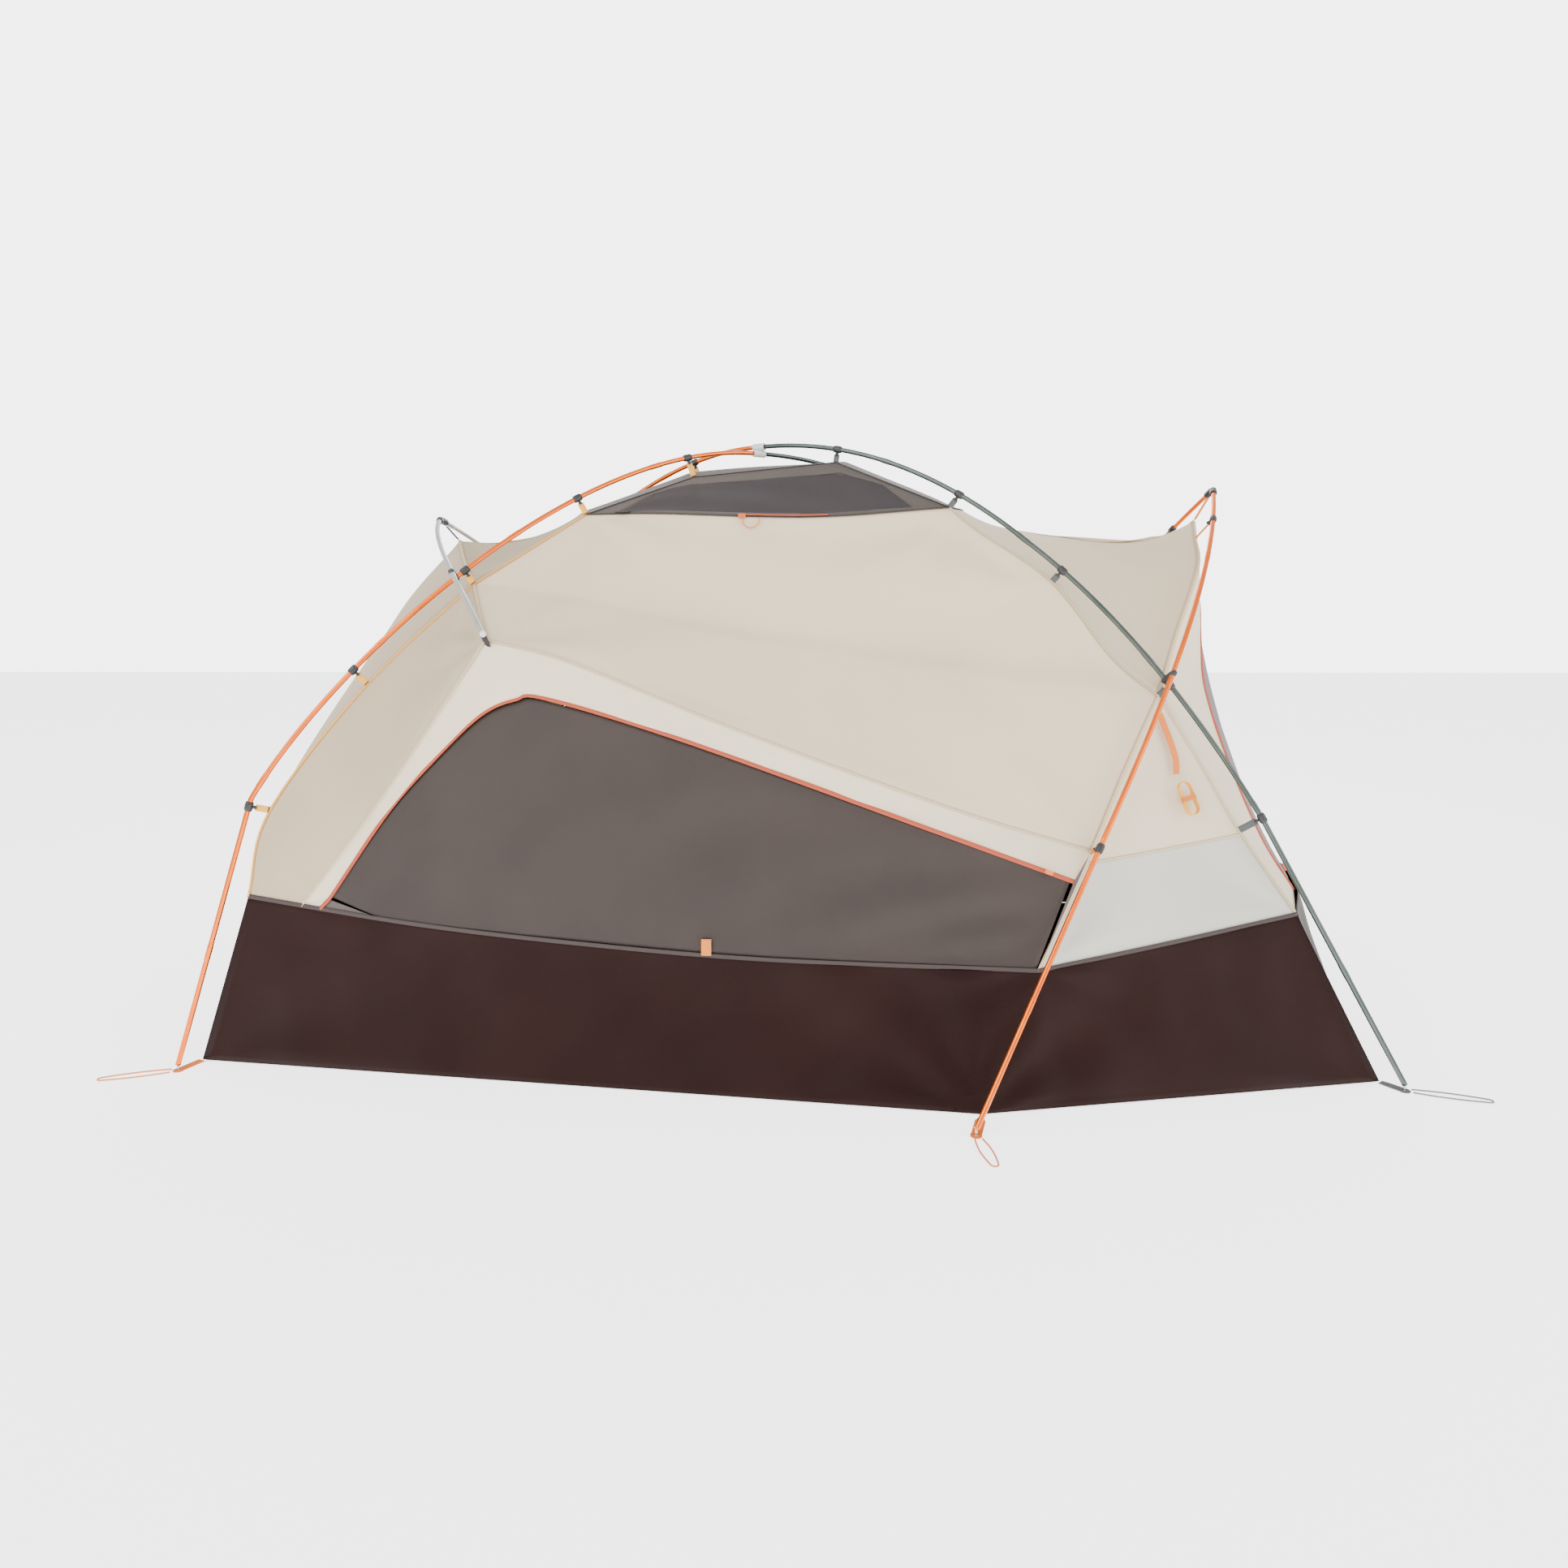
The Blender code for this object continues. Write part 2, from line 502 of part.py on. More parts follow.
def poles():
    """Two crossing main poles, the door arch and the short eave pole."""
    reach = np.linalg.norm(FOOT_DOOR * MIRROR - FOOT_END)
    heading = (FOOT_DOOR * MIRROR - FOOT_END) / reach
    crossing = -FOOT_END[1] / heading[1]
    end_half = pole_path(FOOT_END, heading, [0.160, 0.510], [0.3095, 0.7564],
                         [0.7971, HUB_LOW], crossing - HUB_SOCKET, HUB_LOW)
    door_half = pole_path(FOOT_DOOR * MIRROR, -heading, [0.2674, 0.480], [0.5431, 0.9085],
                          [0.8929, HUB_LOW], reach - crossing - HUB_SOCKET, HUB_LOW)
    raise_hub = np.array([0, 0, HUB_HIGH - HUB_LOW])
    for name, half, colour, side, lift in (
            ("main_pole_a_foot_half", end_half, ORANGE, 1, 0),
            ("main_pole_a_door_half", door_half, POLE_GREY, 1, 0),
            ("main_pole_b_foot_half", end_half, ORANGE, -1, 1),
            ("main_pole_b_door_half", door_half, POLE_GREY, -1, 1)):
        path = half.copy()
        share = np.clip((path[:, 2] - 1.0) / (HUB_LOW - 1.0), 0, 1)[:, None]
        path = path + lift * share * raise_hub
        if side < 0:
            path = rear(path)
        path, radii = with_tip(path)
        add_tube(name, path, radii, colour, roughness=0.3, metallic=0.8)
    hub_place = FOOT_END + crossing * heading
    hub_place[2] = 0.0
    hub(hub_place, heading)

    arch_bow = bezier([0.6062, 0.370], [0.515, 0.560], [0.395, 0.905], [0, ARCH_TOP[2]], 26)
    arch_half = np.vstack([np.linspace([0.775, FOOT_LIFT], [0.6062, 0.370], 6)[:-1], arch_bow])
    lean = (ARCH_TOP[0] - FOOT_MID[0]) / (ARCH_TOP[2] - FOOT_LIFT)
    path = np.stack([FOOT_MID[0] + lean * (arch_half[:, 1] - FOOT_LIFT), -arch_half[:, 0],
                     arch_half[:, 1]], 1)
    path = shorten(path, ELBOW_GRIP)
    elbow("arch_elbow", path, ARCH_TOP)
    path, radii = with_tip(path)
    add_tube("arch_pole_front", path, radii, ORANGE, roughness=0.3, metallic=0.8)
    add_tube("arch_pole_rear", rear(path), radii, ORANGE, roughness=0.3, metallic=0.8)

    eave_bow = bezier([0.4846, EAVE_TIP[2]], [0.3425, 0.9030], [0.2395, 1.0125],
                      [0, EAVE_TOP[2]], 22)
    share = (eave_bow[:, 1] - EAVE_TIP[2]) / (EAVE_TOP[2] - EAVE_TIP[2])
    eave = np.stack([EAVE_TIP[0] + share * (EAVE_TOP[0] - EAVE_TIP[0]), -eave_bow[:, 0],
                     eave_bow[:, 1]], 1)
    eave = shorten(eave, ELBOW_GRIP)
    elbow("eave_elbow", eave, EAVE_TOP)
    radii = np.full(len(eave), POLE_R)
    radii[:2] = TIP_R
    add_tube("eave_pole_front", eave, radii, SILVER, roughness=0.35, metallic=0.7)
    add_tube("eave_pole_rear", rear(eave), radii, SILVER, roughness=0.35, metallic=0.7)


def shorten(path, amount):
    """The path without its last stretch of the given length."""
    share = 1 - amount / length(path)
    return sample(path, np.linspace(0, share, len(path)))


def elbow(name, path, top):
    """A moulded sleeve bent at the middle, whose two arms meet the pole ends."""
    arm = path[-1] + (path[-1] - top) / np.linalg.norm(path[-1] - top) * -0.0004
    arms = np.vstack([sample([arm, top], np.array([0, 0.75])),
                      top + [0, 0, -0.0015],
                      rear(sample([arm, top], np.array([0.75, 0])))])
    add_tube(name, arms, np.full(len(arms), SLEEVE_R), BLACK, roughness=0.5)


def hub(place, heading):
    """Two short crossing sleeves moulded as one, with a pole end at each mouth."""
    centre = place + np.array([0, 0, HUB_LOW])
    rise = np.array([0, 0, HUB_HIGH - HUB_LOW])
    sleeves = []
    for name, height, way in (("hub", 0, heading), ("hub_upper_guide", 1, heading * MIRROR)):
        bm = bmesh.new()
        bmesh.ops.create_cone(bm, cap_ends=True, segments=16, radius1=SLEEVE_R,
                              radius2=SLEEVE_R, depth=2 * HUB_HALF)
        mesh = bpy.data.meshes.new(name)
        bm.to_mesh(mesh)
        bm.free()
        sleeve = bpy.data.objects.new(name, mesh)
        sleeve.location = Vector(tuple(float(c) for c in centre + height * rise))
        sleeve.rotation_euler = Vector(tuple(float(c) for c in way)).to_track_quat("Z", "Y").to_euler()
        mesh.materials.append(material(name, PALE, roughness=0.4))
        bpy.context.collection.objects.link(sleeve)
        sleeves.append(sleeve)
    lower, upper = sleeves
    upper.hide_render = True
    upper.display_type = "WIRE"
    join = lower.modifiers.new("both_sleeves", "BOOLEAN")
    join.operation = "UNION"
    join.solver = "EXACT"
    join.object = upper


# ---- small parts --------------------------------------------------------------
def ribbon(name, middle, across, width, colour, origin=(0, 0, 0), shift=0.0):
    """A flat strap along the points of middle, width wide along across."""
    half = np.asarray(across, float) * width / 2
    middle = np.asarray(middle, float)
    sheet(name, np.stack([middle - half, middle + half]), colour, origin=origin, shift=shift)


def corner_tab(name, corner, foot, colour):
    """Webbing from the floor's corner to the pole foot, with a grommet hole in it.

    Seen from the hole's centre its outline is a circle of END_R, which towards the
    corner opens into a straight strap: r(a) = min(half width / |sin a|, reach / cos a).
    """
    end_r, half, hole = 0.0100, 0.0090, 0.0030
    ahead = corner - foot
    reach = np.linalg.norm(ahead) - 0.0022
    start = math.atan2(ahead[1], ahead[0])
    angles = np.linspace(0, 2 * math.pi, 36, endpoint=False)
    toward = np.maximum(np.cos(angles), 1e-6)
    beside = np.maximum(np.abs(np.sin(angles)), 1e-6)
    strap = np.minimum(half / beside, reach / toward)
    outline = np.where(np.cos(angles) > 0.2, np.maximum(end_r, strap), end_r)
    outline = np.minimum(outline, np.where(np.cos(angles) > 0.2, reach / toward, end_r))
    spokes = np.stack([np.cos(angles + start), np.sin(angles + start), 0 * angles], 1)
    low, high = np.array([0, 0, 0.0003]), np.array([0, 0, 0.0003 + WEBBING])
    rings = [foot + spokes * hole + high, foot + spokes * outline[:, None] + high,
             foot + spokes * outline[:, None] + low, foot + spokes * hole + low]
    count = len(angles)
    faces = [[r * count + k, r * count + (k + 1) % count,
              (r + 1) % 4 * count + (k + 1) % count, (r + 1) % 4 * count + k]
             for r in range(4) for k in range(count)]
    add_mesh(name, np.concatenate(rings), faces, colour)


def stake_loop(name, foot, far, colour):
    """A doubled cord lying on the ground: out, round a tight bend and back."""
    out = (far - foot) / np.linalg.norm(far - foot)
    side = np.array([-out[1], out[0], 0.0])
    start, bend = 0.0128, CORD_BEND
    reach = np.linalg.norm(far - foot) - bend
    run = np.linspace(start, reach, 8)
    swell = bend * (1 + 0.6 * np.sin(math.pi * (run - start) / (reach - start)))
    turn = np.linspace(-math.pi / 2, math.pi / 2, 7)[1:-1]
    flat = [(x, -w) for x, w in zip(run, swell)]
    flat += [(reach + bend * math.cos(a), bend * math.sin(a)) for a in turn]
    flat += [(x, w) for x, w in zip(run[::-1], swell[::-1])]
    height = CORD_D / 2 + 0.0004
    points = [foot + x * out + y * side + np.array([0, 0, height]) for x, y in flat]
    origin = foot + start * out + np.array([0, 0, height])
    add_tube(name, points, np.full(len(points), CORD_D / 2), colour, origin=origin)


def stadium(name, centre, long_axis, face_axis, size, colour, origin):
    """A block with round ends: size is (length, width, depth)."""
    long_axis = np.asarray(long_axis, float) / np.linalg.norm(long_axis)
    face_axis = np.asarray(face_axis, float)
    face_axis = face_axis - face_axis @ long_axis * long_axis
    face_axis = face_axis / np.linalg.norm(face_axis)
    wide_axis = np.cross(long_axis, face_axis)
    total, width, depth = size
    straight = (total - width) / 2
    angles = np.linspace(-math.pi / 2, math.pi / 2, 7)
    round_end = [(straight + width / 2 * math.cos(a), width / 2 * math.sin(a)) for a in angles]
    outline = round_end + [(-x, -y) for x, y in round_end]
    verts = [centre + x * long_axis + y * wide_axis + z * face_axis
             for z in (-depth / 2, depth / 2) for x, y in outline]
    count = len(outline)
    faces = [list(range(count)), list(range(count, 2 * count))]
    faces += [[k, (k + 1) % count, (k + 1) % count + count, k + count] for k in range(count)]
    add_mesh(name, verts, faces, colour, origin)


def mirrored_pair(maker, name, vectors, **more):
    """Calls a maker for the front and, with each vector mirrored, for the rear."""
    maker(name + "_front", *vectors, **more)
    maker(name + "_rear", *(np.asarray(v, float) * MIRROR for v in vectors), **more)


def ground_fittings():
    """The six corner tabs and the stake loops tied to them."""
    for place, corner, foot, far, colour in (
            ("foot_end", FLOOR_END, FOOT_END, LOOP_END, ORANGE),
            ("middle", FLOOR_MID, FOOT_MID, LOOP_MID, ORANGE),
            ("door_end", FLOOR_DOOR, FOOT_DOOR, LOOP_DOOR, POLE_GREY)):
        mirrored_pair(corner_tab, "tab_" + place, (corner, foot), colour=colour)
        mirrored_pair(stake_loop, "stake_loop_" + place, (foot, far), colour=colour)


def guylines():
    """A strap sewn beside the pole crossing, and the tied-up guyline on its end."""
    middle = smooth([GUY_TOP, GUY_BEND, GUY_LOW], 4)
    across = np.cross(GUY_LOW - GUY_TOP, GUY_OUT)
    across = across / np.linalg.norm(across)
    for end, flip in (("_front", np.ones(3)), ("_rear", MIRROR)):
        ribbon("guyline_strap" + end, middle * flip, across * flip, 0.012, STRAP,
               origin=GUY_TOP * flip)
        stadium("guyline_hank" + end, GUY_HANK * flip, np.array([0.019, -0.016, -0.052]) * flip,
                GUY_OUT * flip, (0.066, 0.026, 0.014), STRAP, GUY_TOP * flip)


def zip_sliders():
    """The pulls of the two window zips, the door zip and the roof vent zip."""
    size = (0.016, 0.008, 0.004)
    mirrored_pair(stadium, "window_zip_slider", (
        [0.480, -0.5945, 0.4035], [-0.80, 0.104, 0.272], [0.03, -0.98, 0.17]),
        size=size, colour=ORANGE, origin=(0, 0, 0))
    stadium("door_zip_slider", np.array([1.009, -0.3594, 0.3567]), [-0.413, 0.182, 0.892],
            [0.76, -0.47, 0.45], size, ORANGE, (0, 0, 0))
    stadium("vent_zip_slider", np.array([-0.080, -0.2095, 1.0545]), [1.0, -0.006, -0.012],
            [0.0, -0.80, 0.60], size, ORANGE, (0, 0, 0))


def peak_straps():
    """Short straps that hang the two hood peaks from their pole elbows."""
    across = [0, 1, 0]
    for name, top, peak, width, colour in (
            ("peak_strap_foot", EAVE_TOP, PEAK_END, 0.014, BLACK),
            ("peak_strap_door", ARCH_TOP, PEAK_DOOR, 0.014, STRAP)):
        way = (peak - top) / np.linalg.norm(peak - top)
        first = top + way * (SLEEVE_R + 0.0125)
        last = peak - way * 0.004
        ribbon(name, np.linspace(first, last, 5), across, width, colour)


def main():
    for old in list(bpy.data.objects):
        bpy.data.objects.remove(old, do_unlink=True)
    tub()
    side_panels()
    ends_and_hoods()
    roof()
    poles()
    ground_fittings()
    guylines()
    zip_sliders()
    peak_straps()


main()
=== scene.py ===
# %% [markdown]
# # A four-pole tent, pitched without its rain fly
#
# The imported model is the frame: it has the right size, and its bodies move. This script dresses it.
# Cloth is sewn between seams, poles are tubes along a path, and every finish is made of nodes.
# X runs along the sleeper with the door at +X, the side called front is at -Y, Z = 0 is the ground.

# %% Load the frame
import math

import bpy
import numpy as np
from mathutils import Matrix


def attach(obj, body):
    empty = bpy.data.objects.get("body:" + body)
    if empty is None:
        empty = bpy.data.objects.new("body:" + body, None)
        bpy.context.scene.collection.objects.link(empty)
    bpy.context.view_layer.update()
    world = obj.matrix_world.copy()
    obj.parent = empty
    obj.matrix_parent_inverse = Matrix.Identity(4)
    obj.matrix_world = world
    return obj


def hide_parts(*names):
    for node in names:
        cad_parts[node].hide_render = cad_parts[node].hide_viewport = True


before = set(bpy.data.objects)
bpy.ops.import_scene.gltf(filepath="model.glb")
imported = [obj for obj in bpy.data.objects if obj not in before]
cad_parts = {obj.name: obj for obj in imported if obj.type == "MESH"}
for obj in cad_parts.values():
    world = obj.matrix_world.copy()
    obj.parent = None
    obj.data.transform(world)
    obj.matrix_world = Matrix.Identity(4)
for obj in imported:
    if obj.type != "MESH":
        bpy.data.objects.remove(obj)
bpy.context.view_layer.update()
MIRROR = np.array([1.0, -1.0, 1.0])
SIDES = (("_front", 1.0), ("_rear", MIRROR))
TENT = "tent"

# %% [markdown]
# ## Camera, floor and light
#
# The viewer kneels beside the middle of the long side, with the eye a little under the crown,
# and looks slightly down. A wide lens is needed because the eye is so near. The floor is plain
# and pale, and three large soft lamps stand for the white tent of a product studio.

# %% Camera, floor and light
IMAGE = 1932
EYE = (0.0350, -2.3219, 0.8444)
PITCH_DOWN = 0.1627
YAW = 0.0136
FOCAL = 1234.3


def look():
    """A camera whose focal length is FOCAL image widths over IMAGE, on a 36 mm sensor."""
    camera = bpy.data.objects.new("camera", bpy.data.cameras.new("camera"))
    camera.data.sensor_width = 36
    camera.data.lens = FOCAL / IMAGE * camera.data.sensor_width
    camera.data.clip_start = 0.02
    camera.location = EYE
    camera.rotation_euler = (math.pi / 2 - PITCH_DOWN, 0, YAW)
    bpy.context.collection.objects.link(camera)
    bpy.context.scene.camera = camera


def lamp(name, place, aim, size, power, colour=(1, 1, 1)):
    """A square soft box at place that faces aim."""
    light = bpy.data.lights.new(name, "AREA")
    light.size, light.energy, light.color = size, power, colour
    obj = bpy.data.objects.new(name, light)
    obj.location = place
    way = np.asarray(aim, float) - np.asarray(place, float)
    flat = math.hypot(way[0], way[1])
    obj.rotation_euler = (math.atan2(flat, -way[2]), 0, math.atan2(way[1], way[0]) - math.pi / 2)
    bpy.context.collection.objects.link(obj)


def studio():
    """The ground plane, the pale world and three lamps."""
    mesh = bpy.data.meshes.new("ground")
    reach = 14.0
    mesh.from_pydata([(-reach, -reach, 0), (reach, -reach, 0), (reach, reach, 0),
                      (-reach, reach, 0)], [], [(0, 1, 2, 3)])
    ground = bpy.data.objects.new("ground", mesh)
    ground.location.z = -0.0006
    bpy.context.collection.objects.link(ground)
    white = bpy.data.materials.new("ground_white")
    white.use_nodes = True
    shader = white.node_tree.nodes["Principled BSDF"]
    shader.inputs["Base Color"].default_value = (0.93, 0.93, 0.93, 1)
    shader.inputs["Roughness"].default_value = 0.9
    shader.inputs["Specular IOR Level"].default_value = 0.1
    shader.inputs["Emission Color"].default_value = (1, 1, 1, 1)
    shader.inputs["Emission Strength"].default_value = 2.2
    mesh.materials.append(white)
    world = bpy.data.worlds.new("studio")
    world.use_nodes = True
    sky = world.node_tree.nodes["Background"]
    sky.inputs["Color"].default_value = (1.0, 1.0, 1.0, 1)
    ray = world.node_tree.nodes.new("ShaderNodeLightPath")
    shown = world.node_tree.nodes.new("ShaderNodeMath")
    shown.operation = "MULTIPLY_ADD"
    shown.inputs[1].default_value, shown.inputs[2].default_value = 3.5, 1.5
    world.node_tree.links.new(ray.outputs["Is Camera Ray"], shown.inputs[0])
    world.node_tree.links.new(shown.outputs[0], sky.inputs["Strength"])
    bpy.context.scene.world = world
    lamp("key", (-2.6, -3.4, 3.6), (0, 0, 0.4), 2.6, 130)
    lamp("fill", (3.4, -2.6, 2.2), (0, 0, 0.4), 2.4, 60)
    lamp("back", (0.5, 3.6, 3.0), (0, 0, 0.6), 3.0, 90)


look()
studio()
print("eye at", EYE)

# %% [markdown]
# ## Curves
#
# Every seam and pole starts as a few given points. A Catmull-Rom curve passes through
# all of them, so the cloth's edges bend softly between their ties. Bezier arcs do for the poles,
# which leave a straight leg at one angle and arrive at the hub at another.

# %% Curves
def smooth(points, count=24):
    """Between points b and c, with neighbours a and d, the curve is the Catmull-Rom cubic."""
    points = np.asarray(points, float)
    ends = np.vstack([2 * points[0] - points[1], points, 2 * points[-1] - points[-2]])
    t = np.linspace(0, 1, count, endpoint=False)[None, :, None]
    a, b, c, d = (ends[k:len(ends) - 3 + k][:, None] for k in range(4))
    runs = 0.5 * (2 * b + (c - a) * t + (2 * a - 5 * b + 4 * c - d) * t**2
                  + (3 * b - a - 3 * c + d) * t**3)
    return np.vstack([runs.reshape(-1, points.shape[1]), points[-1:]])


def bezier(p0, p1, p2, p3, count=60):
    """The cubic with weights (1-t)^3, 3(1-t)^2 t, 3(1-t) t^2 and t^3."""
    t = np.linspace(0, 1, count)[:, None]
    p0, p1, p2, p3 = (np.asarray(p, float) for p in (p0, p1, p2, p3))
    return (1 - t)**3 * p0 + 3 * (1 - t)**2 * t * p1 + 3 * (1 - t) * t**2 * p2 + t**3 * p3


def along(points):
    """Distance from the first point, at each point."""
    return np.concatenate([[0.0], np.cumsum(np.linalg.norm(np.diff(points, axis=0), axis=1))])


def sample(points, share):
    """Points at the given shares of a polyline's length, for shares of any shape."""
    points = np.asarray(points, float)
    run = along(points)
    share = np.asarray(share, float)
    return np.stack([np.interp(share * run[-1], run, points[:, k]) for k in range(3)], axis=-1)


def unit(vectors):
    """Each vector divided by its length."""
    return vectors / np.maximum(np.linalg.norm(vectors, axis=-1, keepdims=True), 1e-12)


def both_halves(half):
    """A curve that ends on the mirror plane, joined to its mirror image."""
    return np.vstack([half, (half * MIRROR)[::-1][1:]])


# %% [markdown]
# ## The seams
#
# A tent is cut so that its seams hang straight under its poles. These are the points where it is
# tied, clipped or sewn, all on the front side, and the seams that run through them. They are the
# same ones as in the CAD model, so each cloth piece lies where its stand-in solid does.

# %% The seams
FOOT_END = np.array([-1.1375, -0.5506, 0.0])
FOOT_MID = np.array([0.3323, -0.7750, 0.0])
FOOT_DOOR = np.array([1.1375, -0.6031, 0.0])
FLOOR_END = np.array([-1.118, -0.505, 0.0])
FLOOR_MID = np.array([0.355, -0.703, 0.0])
FLOOR_DOOR = np.array([1.112, -0.568, 0.0])
TUB_END = np.array([-1.011, -0.486, 0.324])
TUB_MID = np.array([0.462, -0.622, 0.232])
TUB_DOOR = np.array([0.961, -0.514, 0.305])
TUB_GUSSET = np.array([-0.905, -0.497, 0.309])
TIE_LOW = np.array([-0.967, -0.464, 0.487])
TIE_HIP = np.array([-0.801, -0.380, 0.720])
TIE_EAVE = np.array([-0.614, -0.285, 0.914])
TIE_ROOF = np.array([-0.405, -0.179, 1.060])
CROWN_END = np.array([-0.191, -0.071, 1.149])
CROWN_DOOR = np.array([0.116, -0.085, 1.177])
TIE_VENT = np.array([0.345, -0.201, 1.071])
TIE_HOOD = np.array([0.5365, -0.298, 0.918])
TIE_CROSS = np.array([0.722, -0.402, 0.700])
TIE_KNEE = np.array([0.865, -0.465, 0.453])
TIE_ARCH = np.array([0.567, -0.545, 0.430])
EAVE_CORNER = np.array([-0.5385, -0.470, 0.808])
PEAK_END = np.array([-0.733, 0.0, 1.021])
PEAK_DOOR = np.array([0.9215, 0.0, 1.062])
RIDGE_END = np.array([-0.443, 0.0, 1.083])
RIDGE_DOOR = np.array([0.400, 0.0, 1.082])

TUB_RIM = smooth([TUB_END, [-0.700, -0.518, 0.283], [-0.400, -0.545, 0.256],
                  [-0.027, -0.580, 0.236], TUB_MID])
TUB_RIM_DOOR = smooth([TUB_MID, [0.700, -0.573, 0.266], TUB_DOOR])
POLE_SEAM_END = smooth([TUB_END, TIE_LOW, TIE_HIP, TIE_EAVE])
POLE_SEAM_DOOR = smooth([TIE_VENT, [0.400, -0.229, 1.022], TIE_HOOD, [0.6456, -0.354, 0.772],
                         TIE_CROSS])
KNEE_SEAM = smooth([TUB_DOOR, TIE_KNEE, [0.800, -0.437, 0.569], TIE_CROSS])
ARCH_SEAM_LOW = smooth([TUB_MID, TIE_ARCH, [0.645, -0.468, 0.568], TIE_CROSS])
ARCH_SEAM_TOP = smooth([TIE_CROSS, [0.780, -0.315, 0.810], [0.858, -0.204, 0.949],
                        [0.895, -0.085, 1.018], PEAK_DOOR])
EAVE_SEAM = smooth([TIE_EAVE, [-0.680, -0.130, 0.965], PEAK_END])
SIDE_SEAM = smooth([EAVE_CORNER, [-0.390, -0.463, 0.768], [-0.087, -0.500, 0.649],
                    [0.300, -0.545, 0.512], TIE_ARCH])
GUSSET_SEAM = smooth([TUB_GUSSET, [-0.760, -0.500, 0.487], [-0.640, -0.490, 0.655],
                      EAVE_CORNER])
VENT_EDGE = smooth([TIE_ROOF, [-0.250, -0.196, 1.060], [0.060, -0.205, 1.052], TIE_VENT])
WINDOW_ZIP = smooth([[-0.850, -0.499, 0.322], [-0.732, -0.487, 0.488], [-0.638, -0.478, 0.591],
                     [-0.555, -0.470, 0.668], [-0.490, -0.468, 0.697], [-0.428, -0.472, 0.699],
                     [-0.162, -0.502, 0.622], [0.2785, -0.560, 0.471], [0.525, -0.592, 0.386]])
DOOR_RIM = smooth([TUB_DOOR, [1.075, -0.270, 0.309], [1.125, 0.0, 0.311]])
END_RIM = smooth([TUB_END, [-1.062, -0.250, 0.322], [-1.078, 0.0, 0.320]])
DOOR_ZIP = both_halves(smooth([[1.030, -0.360, 0.309], [0.965, -0.345, 0.412],
                               [0.901, -0.310, 0.567], [0.870, -0.252, 0.702],
                               [0.880, -0.185, 0.800], [0.905, -0.095, 0.888],
                               [0.915, 0.0, 0.918]]))
RIDGE = np.vstack([np.linspace(a, b, 25)[:-1] for a, b in
                   ((TIE_ROOF, CROWN_END), (CROWN_END, CROWN_DOOR), (CROWN_DOOR, TIE_VENT))]
                  + [TIE_VENT[None]])
ROOF_END = smooth([TIE_ROOF, RIDGE_END, TIE_ROOF * MIRROR])
ROOF_DOOR = smooth([TIE_VENT, RIDGE_DOOR, TIE_VENT * MIRROR])
print("side seam %.2f m, window zip %.2f m" % (along(SIDE_SEAM)[-1], along(WINDOW_ZIP)[-1]))

# %% [markdown]
# ## Meshes from grids
#
# A cloth panel, a strap and a tube are all grids of points, so one routine closes them. A sheet
# has two skins and a rim. A tube wraps round and has its two ends capped. The faces come from
# the numbering of the grid, so no vertex is ever handled on its own.

# %% Meshes from grids
def put(name, verts, faces, material, body=TENT, uv=None, smooth_faces=True):
    """Makes a mesh object from arrays of points and quads, at the origin, riding on a body."""
    mesh = bpy.data.meshes.new(name)
    faces = np.asarray(faces, np.int32)
    mesh.vertices.add(len(verts))
    mesh.vertices.foreach_set("co", np.asarray(verts, np.float32).ravel())
    mesh.loops.add(faces.size)
    mesh.loops.foreach_set("vertex_index", faces.ravel())
    mesh.polygons.add(len(faces))
    mesh.polygons.foreach_set("loop_start", np.arange(0, faces.size, faces.shape[1]))
    mesh.polygons.foreach_set("use_smooth", np.full(len(faces), smooth_faces))
    if uv is not None:
        layer = mesh.uv_layers.new(name="cloth")
        layer.data.foreach_set("uv", np.asarray(uv, np.float32)[faces.ravel()].ravel())
    mesh.update(calc_edges=True)
    mesh.validate()
    mesh.materials.append(material)
    obj = bpy.data.objects.new(name, mesh)
    bpy.context.collection.objects.link(obj)
    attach(obj, body)
    return obj

# %% [markdown]
# ## Measuring a grid
#
# A grid of points is a cloth before it is a mesh. Its normals say which way is out, and its
# measured sides become the texture map, so a weave keeps one scale on every piece.

# %% Measuring a grid
def grid_quads(rows, cols, wrap=False):
    """Quads of a grid whose columns may close on themselves."""
    index = np.arange(rows * cols).reshape(rows, cols)
    if wrap:
        index = np.concatenate([index, index[:, :1]], axis=1)
    quads = np.stack([index[:-1, :-1], index[:-1, 1:], index[1:, 1:], index[1:, :-1]], -1)
    return quads.reshape(-1, 4)


def normals(grid):
    """Unit cross product of the two differences along the grid's sides."""
    return unit(np.cross(np.gradient(grid, axis=1), np.gradient(grid, axis=0)))


def measure(grid):
    """Distances in metres from the grid's first corner, along its rows and up its columns."""
    across = np.linalg.norm(np.diff(grid, axis=1), axis=2)
    up = np.linalg.norm(np.diff(grid, axis=0), axis=2)
    across = np.concatenate([np.zeros((len(grid), 1)), np.cumsum(across, axis=1)], axis=1)
    up = np.concatenate([np.zeros((1, grid.shape[1])), np.cumsum(up, axis=0)], axis=0)
    return np.stack([across, up], axis=-1)


# %% [markdown]
# ## From a grid to a cloth
#
# Real cloth has two faces and an edge. A Solidify modifier could give it them, but the skins are
# built here so that the sheet is closed and its faces point out from the start. The rear piece is
# the front one mirrored, with its columns reversed so that it isn't inside out.

